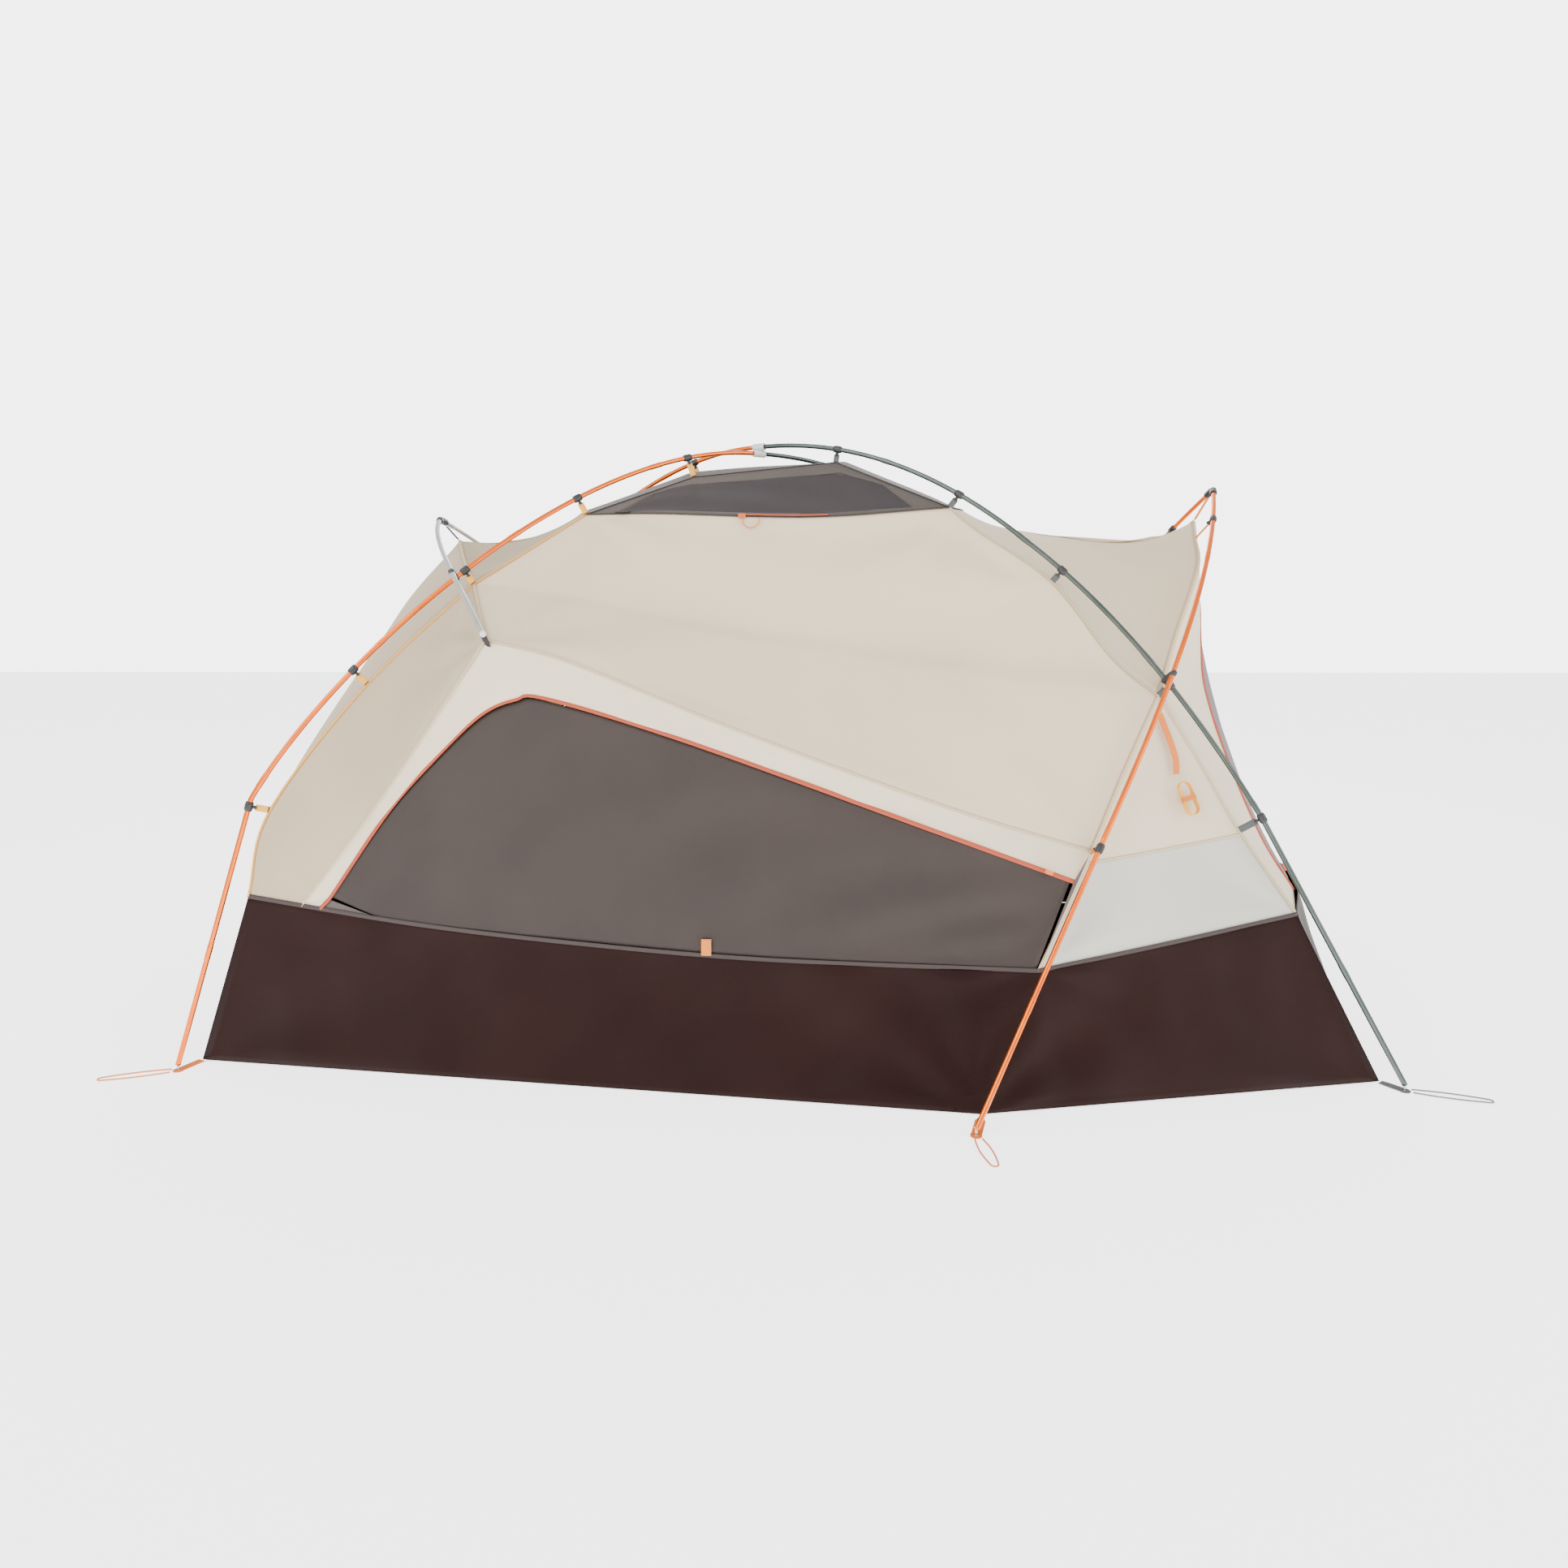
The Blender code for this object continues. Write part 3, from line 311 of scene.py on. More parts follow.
# %% From a grid to a cloth
def closed_sheet(grid, thickness):
    """Two skins, half the thickness each side of the grid along its normals, and their rim."""
    rows, cols = grid.shape[:2]
    n = normals(grid)
    skins = np.concatenate([(grid + n * thickness / 2).reshape(-1, 3),
                            (grid - n * thickness / 2).reshape(-1, 3)])
    quads = grid_quads(rows, cols)
    index = np.arange(rows * cols).reshape(rows, cols)
    rim = np.concatenate([index[0, :], index[1:, -1], index[-1, -2::-1], index[-2:0:-1, 0]])
    after = np.roll(rim, -1)
    walls = np.stack([rim, rim + rows * cols, after + rows * cols, after], -1)
    return skins, np.concatenate([quads, quads[:, ::-1] + rows * cols, walls])


def cloth(name, grid, material, thickness=0.0006, body=TENT, flipped=False, slot=None,
          declare=None, node=None):
    """A closed cloth sheet over a grid. flipped turns a mirrored grid's outside out again."""
    if flipped:
        grid = (grid * MIRROR)[:, ::-1]
    verts, faces = closed_sheet(grid, thickness)
    uv = measure(grid).reshape(-1, 2)
    obj = put(name, verts, faces, material, body, np.concatenate([uv, uv]))
    if node:
        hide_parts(node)
    return obj


def on_both_sides(name, grid, material, **more):
    """The front piece and its mirror image, with node names that end the same way."""
    for side, flipped in (("_front", False), ("_rear", True)):
        own = dict(more)
        own.update({key: own[key] + side for key in ("node",) if own.get(key)})
        if own.get("body", TENT) != TENT:
            own["body"] = own["body"] + side
        cloth(name + side, grid, material, flipped=flipped, **own)

# %% [markdown]
# ## From a path to a tube
#
# Poles, cords, piping and tape are all a profile carried along a path. A curve with a bevel would
# do, but here the radius may change from ring to ring, which makes ferrules, balls and collars, and
# a squashed ring makes flat tape.

# %% From a path to a tube
def tube_grid(path, radius, sides, up, squash=1.0):
    """Circles of the given radii around the path: centre + r (cos a * side + sin a * up).

    side is the cross product of the path's direction and up, and squash flattens them.
    """
    path = np.asarray(path, float)
    radius = np.broadcast_to(np.asarray(radius, float), len(path))[:, None, None]
    direction = unit(np.gradient(path, axis=0))
    side = unit(np.cross(direction, np.broadcast_to(np.asarray(up, float), path.shape)))
    rise = np.cross(side, direction)
    angle = np.linspace(0, 2 * math.pi, sides, endpoint=False)[None, :, None]
    ring = np.cos(angle) * side[:, None] + squash * np.sin(angle) * rise[:, None]
    return path[:, None] + radius * ring


def tube(name, path, radius, material, sides=16, up=(0, 0, 1), body=TENT,
         squash=1.0, node=None):
    """A closed tube along a path. The last ring at each end shrinks to a point-like cap."""
    grid = tube_grid(path, radius, sides, up, squash)
    tiny = 0.02
    first = grid[:1].mean(axis=1, keepdims=True) * (1 - tiny) + grid[:1] * tiny
    last = grid[-1:].mean(axis=1, keepdims=True) * (1 - tiny) + grid[-1:] * tiny
    grid = np.concatenate([first, grid, last])
    rows = len(grid)
    faces = grid_quads(rows, sides, wrap=True)[:, ::-1]
    index = np.arange(rows * sides).reshape(rows, sides)
    half = sides // 2
    k = np.arange(half - 1)
    lid = np.stack([k, k + 1, sides - 2 - k, sides - 1 - k], -1)
    faces = np.concatenate([faces, index[0][lid], index[-1][lid][:, ::-1]])
    run = np.concatenate([[0], along(path), [along(path)[-1]]])
    turn = np.arange(sides) / sides
    uv = np.stack(np.meshgrid(run, turn, indexing="ij"), -1).reshape(-1, 2)
    obj = put(name, grid.reshape(-1, 3), faces, material, body, uv)
    if node:
        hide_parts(node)
    return obj

# %% [markdown]
# ## Patches of cloth
#
# A patch fills the space inside four seams. Coons' rule adds the surface ruled between the lower
# and upper seam to the one ruled between the left and right seam, and takes away the flat corner
# patch that both count. Neighbours share a seam curve, so their edges meet without a gap.

# %% Patches of cloth
def coons(bottom, top, left, right, shares_u, shares_v):
    """(1-v) bottom + v top + (1-u) left + u right, less the bilinear patch of the corners."""
    u, v = shares_u[None, :, None], shares_v[:, None, None]
    low, high = sample(bottom, shares_u)[None], sample(top, shares_u)[None]
    near, far = sample(left, shares_v)[:, None], sample(right, shares_v)[:, None]
    corners = ((1 - u) * (1 - v) * bottom[0] + u * (1 - v) * bottom[-1]
               + (1 - u) * v * top[0] + u * v * top[-1])
    return (1 - v) * low + v * high + (1 - u) * near + u * far - corners


def noise(u, v, seed, lumps=9, fine=6.0):
    """A sum of sine waves of random heading and phase, scaled to about -1..1. Same each run."""
    rng = np.random.default_rng(seed)
    total = np.zeros(np.broadcast(u, v).shape)
    for _ in range(lumps):
        heading, phase = rng.uniform(0, 2 * math.pi, 2)
        pace = rng.uniform(0.35, 1.0) * fine
        total = total + np.sin(pace * (math.cos(heading) * u + math.sin(heading) * v) + phase)
    return total / math.sqrt(lumps)


def folds(grid, corner, reach, depth, count, seed, spread=0.6):
    """Tension folds that fan out of a corner: depth * fade * cos(count * angle + bend).

    fade is (d / reach) exp(1 - d / reach) of the distance d, so the corner itself stays put.
    """
    away = grid - np.asarray(corner)
    d = np.linalg.norm(away, axis=2)
    n = normals(grid)[len(grid) // 2, grid.shape[1] // 2]
    side = unit(np.cross(n, [0.0, 0.0, 1.0]))
    rise = np.cross(side, n)
    angle = np.arctan2(away @ rise, away @ side)
    bend = spread * noise(d / reach, angle, seed, 5, 3.0)
    return depth * (d / reach) * np.exp(1 - d / reach) * np.cos(count * angle + bend)


def settle(grid, depth):
    """Moves the grid along its normals by depth, which fades to nothing at the four seams."""
    rows, cols = grid.shape[:2]
    u, v = np.linspace(0, 1, cols)[None], np.linspace(0, 1, rows)[:, None]
    hold = np.minimum(1, 14 * u * (1 - u)) * np.minimum(1, 14 * v * (1 - v))
    hold = hold * hold * (3 - 2 * hold)
    return grid + (hold * depth)[..., None] * normals(grid)


def even(count):
    """Evenly spaced shares from 0 to 1."""
    return np.linspace(0, 1, count)


# %% [markdown]
# ## Cloth and mesh finishes
#
# Tent cloth is thin polyester: a fine square weave, slightly glossy, lit from behind as well as
# from the front. The weave is two crossed sine waves over UV metres. A slow noise moves the
# colour a little at random, and a few lights pass through as a glow.

# %% Cloth finishes
def new_material(name):
    """A material, its node tree and its main shader."""
    mat = bpy.data.materials.new(name)
    mat.use_nodes = True
    tree = mat.node_tree
    shader = tree.nodes["Principled BSDF"]
    return mat, tree, shader


def link(tree, output, target):
    """Joins two sockets."""
    tree.links.new(output, target)


def node(tree, kind, **settings):
    """A new node with the given settings."""
    made = tree.nodes.new(kind)
    for key, value in settings.items():
        setattr(made, key, value)
    return made

# %% [markdown]
# ## Weave, and a tone that drifts
#
# Dyed cloth is never one flat colour, so a soft noise fades between two close tones. The weave
# itself is two waves at right angles. They only feed the bump, because the threads are far too fine
# to model.

# %% Weave, and a tone that drifts
def mottled(tree, vector, colour, other, scale, detail=4.0, low=0.35, high=0.65):
    """A noise that fades between two colours. Returns the colour output."""
    cloud = node(tree, "ShaderNodeTexNoise")
    cloud.inputs["Scale"].default_value = scale
    cloud.inputs["Detail"].default_value = detail
    link(tree, vector, cloud.inputs["Vector"])
    ramp = node(tree, "ShaderNodeValToRGB")
    ramp.color_ramp.elements[0].position = low
    ramp.color_ramp.elements[1].position = high
    ramp.color_ramp.elements[0].color = (*colour, 1)
    ramp.color_ramp.elements[1].color = (*other, 1)
    link(tree, cloud.outputs["Fac"], ramp.inputs["Fac"])
    return ramp.outputs["Color"]


def weave_height(tree, vector, threads):
    """Two wave textures at right angles, added: the crowns of warp and weft."""
    waves = []
    for direction in ("X", "Y"):
        wave = node(tree, "ShaderNodeTexWave", bands_direction=direction)
        wave.inputs["Scale"].default_value = threads
        wave.inputs["Distortion"].default_value = 0.4
        link(tree, vector, wave.inputs["Vector"])
        waves.append(wave.outputs["Fac"])
    total = node(tree, "ShaderNodeMath", operation="ADD")
    link(tree, waves[0], total.inputs[0])
    link(tree, waves[1], total.inputs[1])
    return total.outputs[0]


def bumped(tree, shader, height, strength, distance=0.0004):
    """Sends a height into the shader's normal through a Bump node."""
    bump = node(tree, "ShaderNodeBump")
    bump.inputs["Strength"].default_value = strength
    bump.inputs["Distance"].default_value = distance
    link(tree, height, bump.inputs["Height"])
    link(tree, bump.outputs["Normal"], shader.inputs["Normal"])
    return bump.outputs["Normal"]

# %% [markdown]
# ## Coated cloth and insect mesh
#
# Thin cloth lets some light through, which a translucent shader mixed with the main one gives. Mesh
# has holes too fine to model, so its alpha is the share that is thread.

# %% Coated cloth and insect mesh
def cloth_finish(name, colour, other, roughness=0.72, glow=0.0, sheen=0.15, threads=260.0,
                 bump=0.12, gloss=0.3):
    """Woven cloth. glow is the share of light that passes through it."""
    mat, tree, shader = new_material(name)
    uv = node(tree, "ShaderNodeUVMap", uv_map="cloth").outputs["UV"]
    place = node(tree, "ShaderNodeTexCoord").outputs["Object"]
    tint = mottled(tree, place, colour, other, 5.0)
    link(tree, tint, shader.inputs["Base Color"])
    shader.inputs["Roughness"].default_value = roughness
    shader.inputs["Sheen Weight"].default_value = sheen
    shader.inputs["Specular IOR Level"].default_value = gloss
    normal = bumped(tree, shader, weave_height(tree, uv, threads), bump)
    if glow:
        through = node(tree, "ShaderNodeBsdfTranslucent")
        link(tree, tint, through.inputs["Color"])
        link(tree, normal, through.inputs["Normal"])
        mix = node(tree, "ShaderNodeMixShader")
        mix.inputs["Fac"].default_value = glow
        link(tree, shader.outputs["BSDF"], mix.inputs[1])
        link(tree, through.outputs["BSDF"], mix.inputs[2])
        link(tree, mix.outputs["Shader"], tree.nodes["Material Output"].inputs["Surface"])
    return mat


def mesh_finish(name, colour, other, cover):
    """Fine insect mesh, far too fine to model: cover is the share of it that is thread."""
    mat, tree, shader = new_material(name)
    place = node(tree, "ShaderNodeTexCoord").outputs["Object"]
    uv = node(tree, "ShaderNodeUVMap", uv_map="cloth").outputs["UV"]
    link(tree, mottled(tree, place, colour, other, 7.0), shader.inputs["Base Color"])
    shader.inputs["Roughness"].default_value = 0.62
    shader.inputs["Alpha"].default_value = cover
    bumped(tree, shader, weave_height(tree, uv, 420.0), 0.2)
    return mat

# %% [markdown]
# ## The cloths of this tent
#
# Cream for the canopy, a shade lighter round the window and darker at the foot end, brown for the
# tub, grey for the roof, and four meshes: window, its edges, door and vent. None is exactly alike.
# The darker creams are painted shade on the same canopy cloth: the foot end wall and its gussets,
# the foot hood darker still, and the door hood a little darker.

# %% The cloths of this tent
CREAM_CLOTH = cloth_finish("cream_cloth", (0.83, 0.69, 0.48), (0.86, 0.72, 0.51), glow=0.20)
BAND_CLOTH = cloth_finish("band_cloth", (0.90, 0.78, 0.58), (0.93, 0.81, 0.61), glow=0.22)
SIDE_CLOTH = cloth_finish("side_cloth", (0.66, 0.65, 0.57), (0.69, 0.68, 0.60), glow=0.20)
# Painted shade: the canopy cream, a little darker, for the door hood.
CREAM_PAINTED_SHADE_DOOR_HOOD = cloth_finish("hood_cloth", (0.74, 0.61, 0.42), (0.78, 0.65, 0.46), glow=0.18)
TUB_CLOTH = cloth_finish("tub_cloth", (0.0130, 0.0036, 0.0028), (0.0165, 0.0050, 0.0040), 0.5,
                         sheen=0.0, gloss=0.1)
# Painted shade: the canopy cream, darkened, for the foot end wall and its corner gussets.
CREAM_PAINTED_SHADE_FOOT_END = cloth_finish("gusset_cloth", (0.54, 0.425, 0.28), (0.58, 0.46, 0.31), glow=0.14)
# Painted shade: the canopy cream, darkest of all, for the foot hood.
CREAM_PAINTED_SHADE_FOOT_HOOD = cloth_finish("foot_hood_cloth", (0.44, 0.34, 0.21), (0.48, 0.375, 0.24), glow=0.10)
ROOF_CLOTH = cloth_finish("roof_cloth", (0.058, 0.046, 0.038), (0.070, 0.056, 0.047), 0.7)
WINDOW_MESH = mesh_finish("window_mesh", (0.024, 0.0140, 0.0104), (0.030, 0.0178, 0.0135), 0.93)
# Opaque, so its colour paints the window's look: the dark mesh, a painted sheen and the cream cover
# behind it.
EDGE_MESH = mesh_finish("edge_mesh", (0.074, 0.058, 0.050), (0.086, 0.068, 0.059), 1.0)
DOOR_MESH = mesh_finish("door_mesh", (0.185, 0.142, 0.158), (0.205, 0.160, 0.176), 0.92)
VENT_MESH = mesh_finish("vent_mesh", (0.026, 0.0190, 0.0205), (0.032, 0.0240, 0.0255), 0.93)
print("cloth finishes:", len(bpy.data.materials))

# %% [markdown]
# ## Metal, webbing, plastic and thread
#
# The poles are anodised aluminium, so their colour belongs to the metal and their shine stays.
# Webbing is a coarse ribbed weave. Plastic clips are moulded black, faintly mottled and grainy.

# %% Hard finishes
def grained_finish(name, colour, other, roughness, scale=300.0, bump=0.15, blotch=40.0,
                   metallic=0.0, depth=0.0003):
    """A fine grain over two close tones: moulded plastic, or tube when it is metallic."""
    mat, tree, shader = new_material(name)
    place = node(tree, "ShaderNodeTexCoord").outputs["Object"]
    link(tree, mottled(tree, place, colour, other, blotch, 2.0), shader.inputs["Base Color"])
    shader.inputs["Metallic"].default_value = metallic
    shader.inputs["Roughness"].default_value = roughness
    grain = node(tree, "ShaderNodeTexNoise")
    grain.inputs["Scale"].default_value = scale
    link(tree, place, grain.inputs["Vector"])
    bumped(tree, shader, grain.outputs["Fac"], bump, depth)
    return mat


def metal_finish(name, colour, other, roughness=0.24):
    """Anodised tube: coloured metal with a slightly uneven sheen and a very fine grain."""
    return grained_finish(name, colour, other, roughness, 900.0, 0.05, 14.0, 0.85, 0.0002)

# %% [markdown]
# ## Webbing
#
# Tape is woven in ribs. A wave texture makes them: along the texture map where the tape runs, or
# slantwise through the piece's own space where it has no map.

# %% Webbing
def webbing_finish(name, colour, other, ribs=420.0, on_piece=False):
    """Woven tape: a wave of ribs, with painted shade that darkens the grooves.

    It runs along the texture map, or with on_piece slantwise through the piece's own space.
    """
    mat, tree, shader = new_material(name)
    if on_piece:
        vector = node(tree, "ShaderNodeTexCoord").outputs["Object"]
    else:
        vector = node(tree, "ShaderNodeUVMap", uv_map="cloth").outputs["UV"]
    wave = node(tree, "ShaderNodeTexWave", bands_direction="DIAGONAL" if on_piece else "X")
    wave.inputs["Scale"].default_value = ribs
    wave.inputs["Distortion"].default_value = 1.0 if on_piece else 1.2
    link(tree, vector, wave.inputs["Vector"])
    # The ramp paints shade into the grooves: colour there, other on the ribs.
    ramp = node(tree, "ShaderNodeValToRGB")
    ramp.color_ramp.elements[0].color = (*colour, 1)
    ramp.color_ramp.elements[1].color = (*other, 1)
    link(tree, wave.outputs["Fac"], ramp.inputs["Fac"])
    link(tree, ramp.outputs["Color"], shader.inputs["Base Color"])
    shader.inputs["Roughness"].default_value = 0.75
    bumped(tree, shader, wave.outputs["Fac"], 0.3 if on_piece else 0.35)
    return mat

# %% [markdown]
# ## Stitched seam tape
#
# A seam is covered by tape and sewn twice. Real stitches would cost thousands of faces, so dashes
# are worked out from the map, whose first value is the run along the tape.

# %% Stitched seam tape
def stitched_finish(name, colour, thread):
    """Seam tape with two rows of stitches: dashes 2.6 mm long every 4 mm of its run.

    The texture map holds the run in metres and the turn round the tape, 0.25 being its face.
    """
    mat, tree, shader = new_material(name)
    split = node(tree, "ShaderNodeSeparateXYZ")
    link(tree, node(tree, "ShaderNodeUVMap", uv_map="cloth").outputs["UV"], split.inputs[0])

    def sums(kind, first, second, third=0.0):
        made = node(tree, "ShaderNodeMath", operation=kind)
        for socket, value in zip(made.inputs, (first, second, third)):
            if isinstance(value, float):
                socket.default_value = value
            else:
                link(tree, value, socket)
        return made.outputs[0]

    beat = sums("FRACT", sums("DIVIDE", split.outputs["X"], 0.004), 0.0)
    dash = sums("LESS_THAN", beat, 0.65)
    off_middle = sums("ABSOLUTE", sums("SUBTRACT", split.outputs["Y"], 0.25), 0.0)
    row = sums("COMPARE", off_middle, 0.10, 0.025)
    stitch = sums("MULTIPLY", dash, row)
    mix = node(tree, "ShaderNodeMix", data_type="RGBA")
    link(tree, stitch, mix.inputs["Factor"])
    mix.inputs[6].default_value = (*colour, 1)
    mix.inputs[7].default_value = (*thread, 1)
    link(tree, mix.outputs[2], shader.inputs["Base Color"])
    shader.inputs["Roughness"].default_value = 0.78
    bumped(tree, shader, stitch, 0.4)
    return mat

# %% [markdown]
# ## Poles, tapes and plastics
#
# Every finish is made once and shared by all the pieces that are made of it.

# %% Poles, tapes and plastics
ORANGE_METAL = metal_finish("orange_anodised", (0.80, 0.135, 0.008), (0.88, 0.175, 0.012))
GREY_METAL = metal_finish("grey_anodised", (0.070, 0.088, 0.080), (0.095, 0.115, 0.105))
SILVER_METAL = metal_finish("silver_anodised", (0.42, 0.43, 0.43), (0.55, 0.56, 0.56), 0.2)
ORANGE_TAPE = webbing_finish("orange_webbing", (0.62, 0.145, 0.012), (0.90, 0.295, 0.035))
YELLOW_TAPE = webbing_finish("yellow_webbing", (0.80, 0.36, 0.03), (0.95, 0.52, 0.08))
GREY_TAPE = webbing_finish("grey_webbing", (0.045, 0.052, 0.050), (0.11, 0.12, 0.115))
RED_ZIP = webbing_finish("zip_piping", (0.34, 0.045, 0.016), (0.52, 0.095, 0.035), 800.0)
SEAM_TAPE = stitched_finish("seam_tape", (0.66, 0.54, 0.34), (0.27, 0.17, 0.07))
CREAM_UPPER = cloth_finish("side_cloth_high", (0.83, 0.71, 0.53), (0.86, 0.74, 0.56), glow=0.20)
ORANGE_CORD = webbing_finish("bright_cord", (0.62, 0.12, 0.01), (0.86, 0.42, 0.22), 900.0)
DARK_TAPE = webbing_finish("dark_binding", (0.022, 0.014, 0.012), (0.055, 0.038, 0.034), 500.0)
BLACK_TAPE = webbing_finish("black_webbing", (0.010, 0.010, 0.011), (0.030, 0.030, 0.032))
DARK_THREAD = grained_finish("dark_thread", (0.10, 0.03, 0.02), (0.16, 0.06, 0.04), 0.8)
CORD = webbing_finish("stake_cord", (0.030, 0.030, 0.032), (0.40, 0.40, 0.38), 900.0)
BLACK_PLASTIC = grained_finish("black_plastic", (0.012, 0.012, 0.013), (0.024, 0.024, 0.026), 0.38)
CLEAR_PLASTIC = grained_finish("pale_plastic", (0.60, 0.61, 0.60), (0.72, 0.73, 0.72), 0.3)
PULL = grained_finish("zip_pull", (0.62, 0.11, 0.015), (0.75, 0.17, 0.03), 0.5)
print("finishes:", len(bpy.data.materials))

# %% [markdown]
# ## The cords
#
# At each foot a thin reflective cord runs out to a stake and back: out on one side, round a bend
# of two cord widths, and back on the other. The guylines are wound into a flat hank, so their
# line is a helix on an oval. Both ends of a stake loop are knotted into the corner webbing.

# %% The cords
CORD_D = 0.003
CORD_BEND = 0.0065
LOOPS = {"foot_end": (FOOT_END, np.array([-1.263, -0.593, 0.0])),
         "middle": (FOOT_MID, np.array([0.346, -0.871, 0.0])),
         "door_end": (FOOT_DOOR, np.array([1.269, -0.645, 0.0]))}


def loop_path(foot, far):
    """Out along a slightly swollen line, round a half circle, and back along its mirror."""
    out = unit(far - foot)
    side = np.array([-out[1], out[0], 0.0])
    start, reach = 0.0128, np.linalg.norm(far - foot) - CORD_BEND
    run = np.linspace(start, reach, 40)
    swell = CORD_BEND * (1 + 0.6 * np.sin(math.pi * (run - start) / (reach - start)))
    turn = np.linspace(-math.pi / 2, math.pi / 2, 14)[1:-1]
    x = np.concatenate([run, reach + CORD_BEND * np.cos(turn), run[::-1]])
    y = np.concatenate([-swell, CORD_BEND * np.sin(turn), swell[::-1]])
    return foot + x[:, None] * out + y[:, None] * side + np.array([0, 0, CORD_D / 2 + 0.0004])


def declared_cord(name, path, diameter, body, node_name):
    dark = "door_end" in name
    obj = tube(name, path, diameter / 2, CORD if dark else ORANGE_CORD, sides=10, body=body,
               node=node_name)


for place, (foot, far) in LOOPS.items():
    for side, flip in SIDES:
        path = loop_path(foot, far) * flip
        declared_cord("stake_cord_" + place + side, path, CORD_D, "loop_" + place + side,
                      "stake_loop_" + place + side)
print("stake cords: %d" % (2 * len(LOOPS)))

# %% [markdown]
# ## The guyline
#
# Each guyline hangs from the pole crossing tied up in a hank. The cord is wound in ovals through
# the hank's depth, and a short wrap holds its waist.

# %% The guyline
GUY_HANK = np.array([0.7590, -0.4860, 0.5180])
GUY_OUT = np.array([0.1485, -0.9242, 0.3519])
HANK_LONG = unit(np.array([0.019, -0.016, -0.052]))
HANK_FACE = unit(GUY_OUT - GUY_OUT @ HANK_LONG * HANK_LONG)
HANK_WIDE = np.cross(HANK_LONG, HANK_FACE)
GUY_D = 0.002


def hank_path(turns=5.5, count=420):
    """An oval of two straight runs and two half circles, wound turns times through its depth."""
    straight, radius, depth = 0.020, 0.0115, 0.0118
    perimeter = 4 * straight + 2 * math.pi * radius
    s = (np.linspace(0.31, 0.31 + turns, count) % 1.0) * perimeter
    arc = math.pi * radius
    first = s < arc
    second = (s >= arc) & (s < arc + 2 * straight)
    third = (s >= arc + 2 * straight) & (s < 2 * arc + 2 * straight)
    a1, a2 = s / radius, (s - arc - 2 * straight) / radius
    down = s - 2 * arc - 2 * straight
    x = np.select([first, second, third], [-straight - radius * np.sin(a1), s - arc - straight,
                                           straight + radius * np.sin(a2)], straight - down)
    y = np.select([first, second, third], [radius * np.cos(a1), -radius + 0 * s,
                                           -radius * np.cos(a2)], radius + 0 * s)
    z = np.linspace(-depth / 2, depth / 2, count)
    return GUY_HANK + x[:, None] * HANK_LONG + y[:, None] * HANK_WIDE + z[:, None] * HANK_FACE


def wrap_path(turns=4.0, pitch=0.0024, count=160):
    """An oval helix round the waist of the hank, along its length."""
    t = np.linspace(-turns / 2, turns / 2, count)[:, None]
    angle = 2 * math.pi * t
    half_wide, half_deep = 0.0142, 0.0086
    return (GUY_HANK + pitch * t * HANK_LONG + half_wide * np.cos(angle) * HANK_WIDE
            + half_deep * np.sin(angle) * HANK_FACE)


for side, flip in SIDES:
    path = hank_path() * flip
    obj = tube("guyline_cord" + side, path, GUY_D / 2, YELLOW_TAPE, sides=8,
               body="guyline" + side, node="guyline_hank" + side,
               up=GUY_OUT * flip)
    tube("guyline_wrap" + side, wrap_path() * flip, 0.0011, ORANGE_TAPE, sides=8,
         body="guyline" + side, up=HANK_LONG * flip)
print("guyline %.2f m each" % along(hank_path())[-1])

# %% [markdown]
# ## The tub
#
# The floor is coated cloth, dark brown, that turns up into a wall all round. It is slack near the
# ground, so folds run from each corner where a foot strap pulls it.

# %% The tub
LIFT = np.array([0, 0, 0.0022])


def tub_side():
    """Ruled from floor to rim, bowed 12 mm, with folds that fan out of each corner."""
    bottom = np.vstack([np.linspace(FLOOR_END, FLOOR_MID, 80)[:-1],
                        np.linspace(FLOOR_MID, FLOOR_DOOR, 46)]) + LIFT
    top = np.vstack([sample(TUB_RIM, even(80))[:-1], sample(TUB_RIM_DOOR, even(46))])
    rise = even(30)[:, None, None]
    grid = bottom[None] * (1 - rise) + top[None] * rise
    run = even(grid.shape[1])[None, :, None]
    grid = grid - 0.012 * np.sin(math.pi * rise) * np.sin(math.pi * run) * normals(grid)
    length = along(bottom)
    u, v = length[None], rise[..., 0]
    depth = 0.0042 * noise(9 * u, 1.5 * v, 3) * np.sin(math.pi * v)
    depth = depth + folds(grid, FLOOR_MID, 0.14, 0.0055, 9, 5)
    depth = depth + folds(grid, FLOOR_DOOR, 0.16, 0.0060, 8, 6)
    depth = depth + folds(grid, FLOOR_END, 0.16, 0.0050, 8, 7)
    depth = depth + folds(grid, TUB_MID, 0.10, 0.0030, 8, 8)
    return settle(grid, depth)


def tub_end(corner, rim, seed):
    """A patch between the floor's edge and the rim, with folds from both corners."""
    top = both_halves(rim)
    bottom = np.linspace(corner, corner * MIRROR, 9) + LIFT
    left, right = np.linspace(bottom[0], top[0], 5), np.linspace(bottom[-1], top[-1], 5)
    grid = coons(bottom, top, left, right, even(70), even(26))
    v = even(26)[:, None]
    depth = 0.004 * noise(9 * even(70)[None], 1.5 * v, seed) * np.sin(math.pi * v)
    depth = depth + folds(grid, bottom[0], 0.16, 0.005, 8, seed + 1)
    return settle(grid, depth + folds(grid, bottom[-1], 0.16, 0.005, 8, seed + 2))


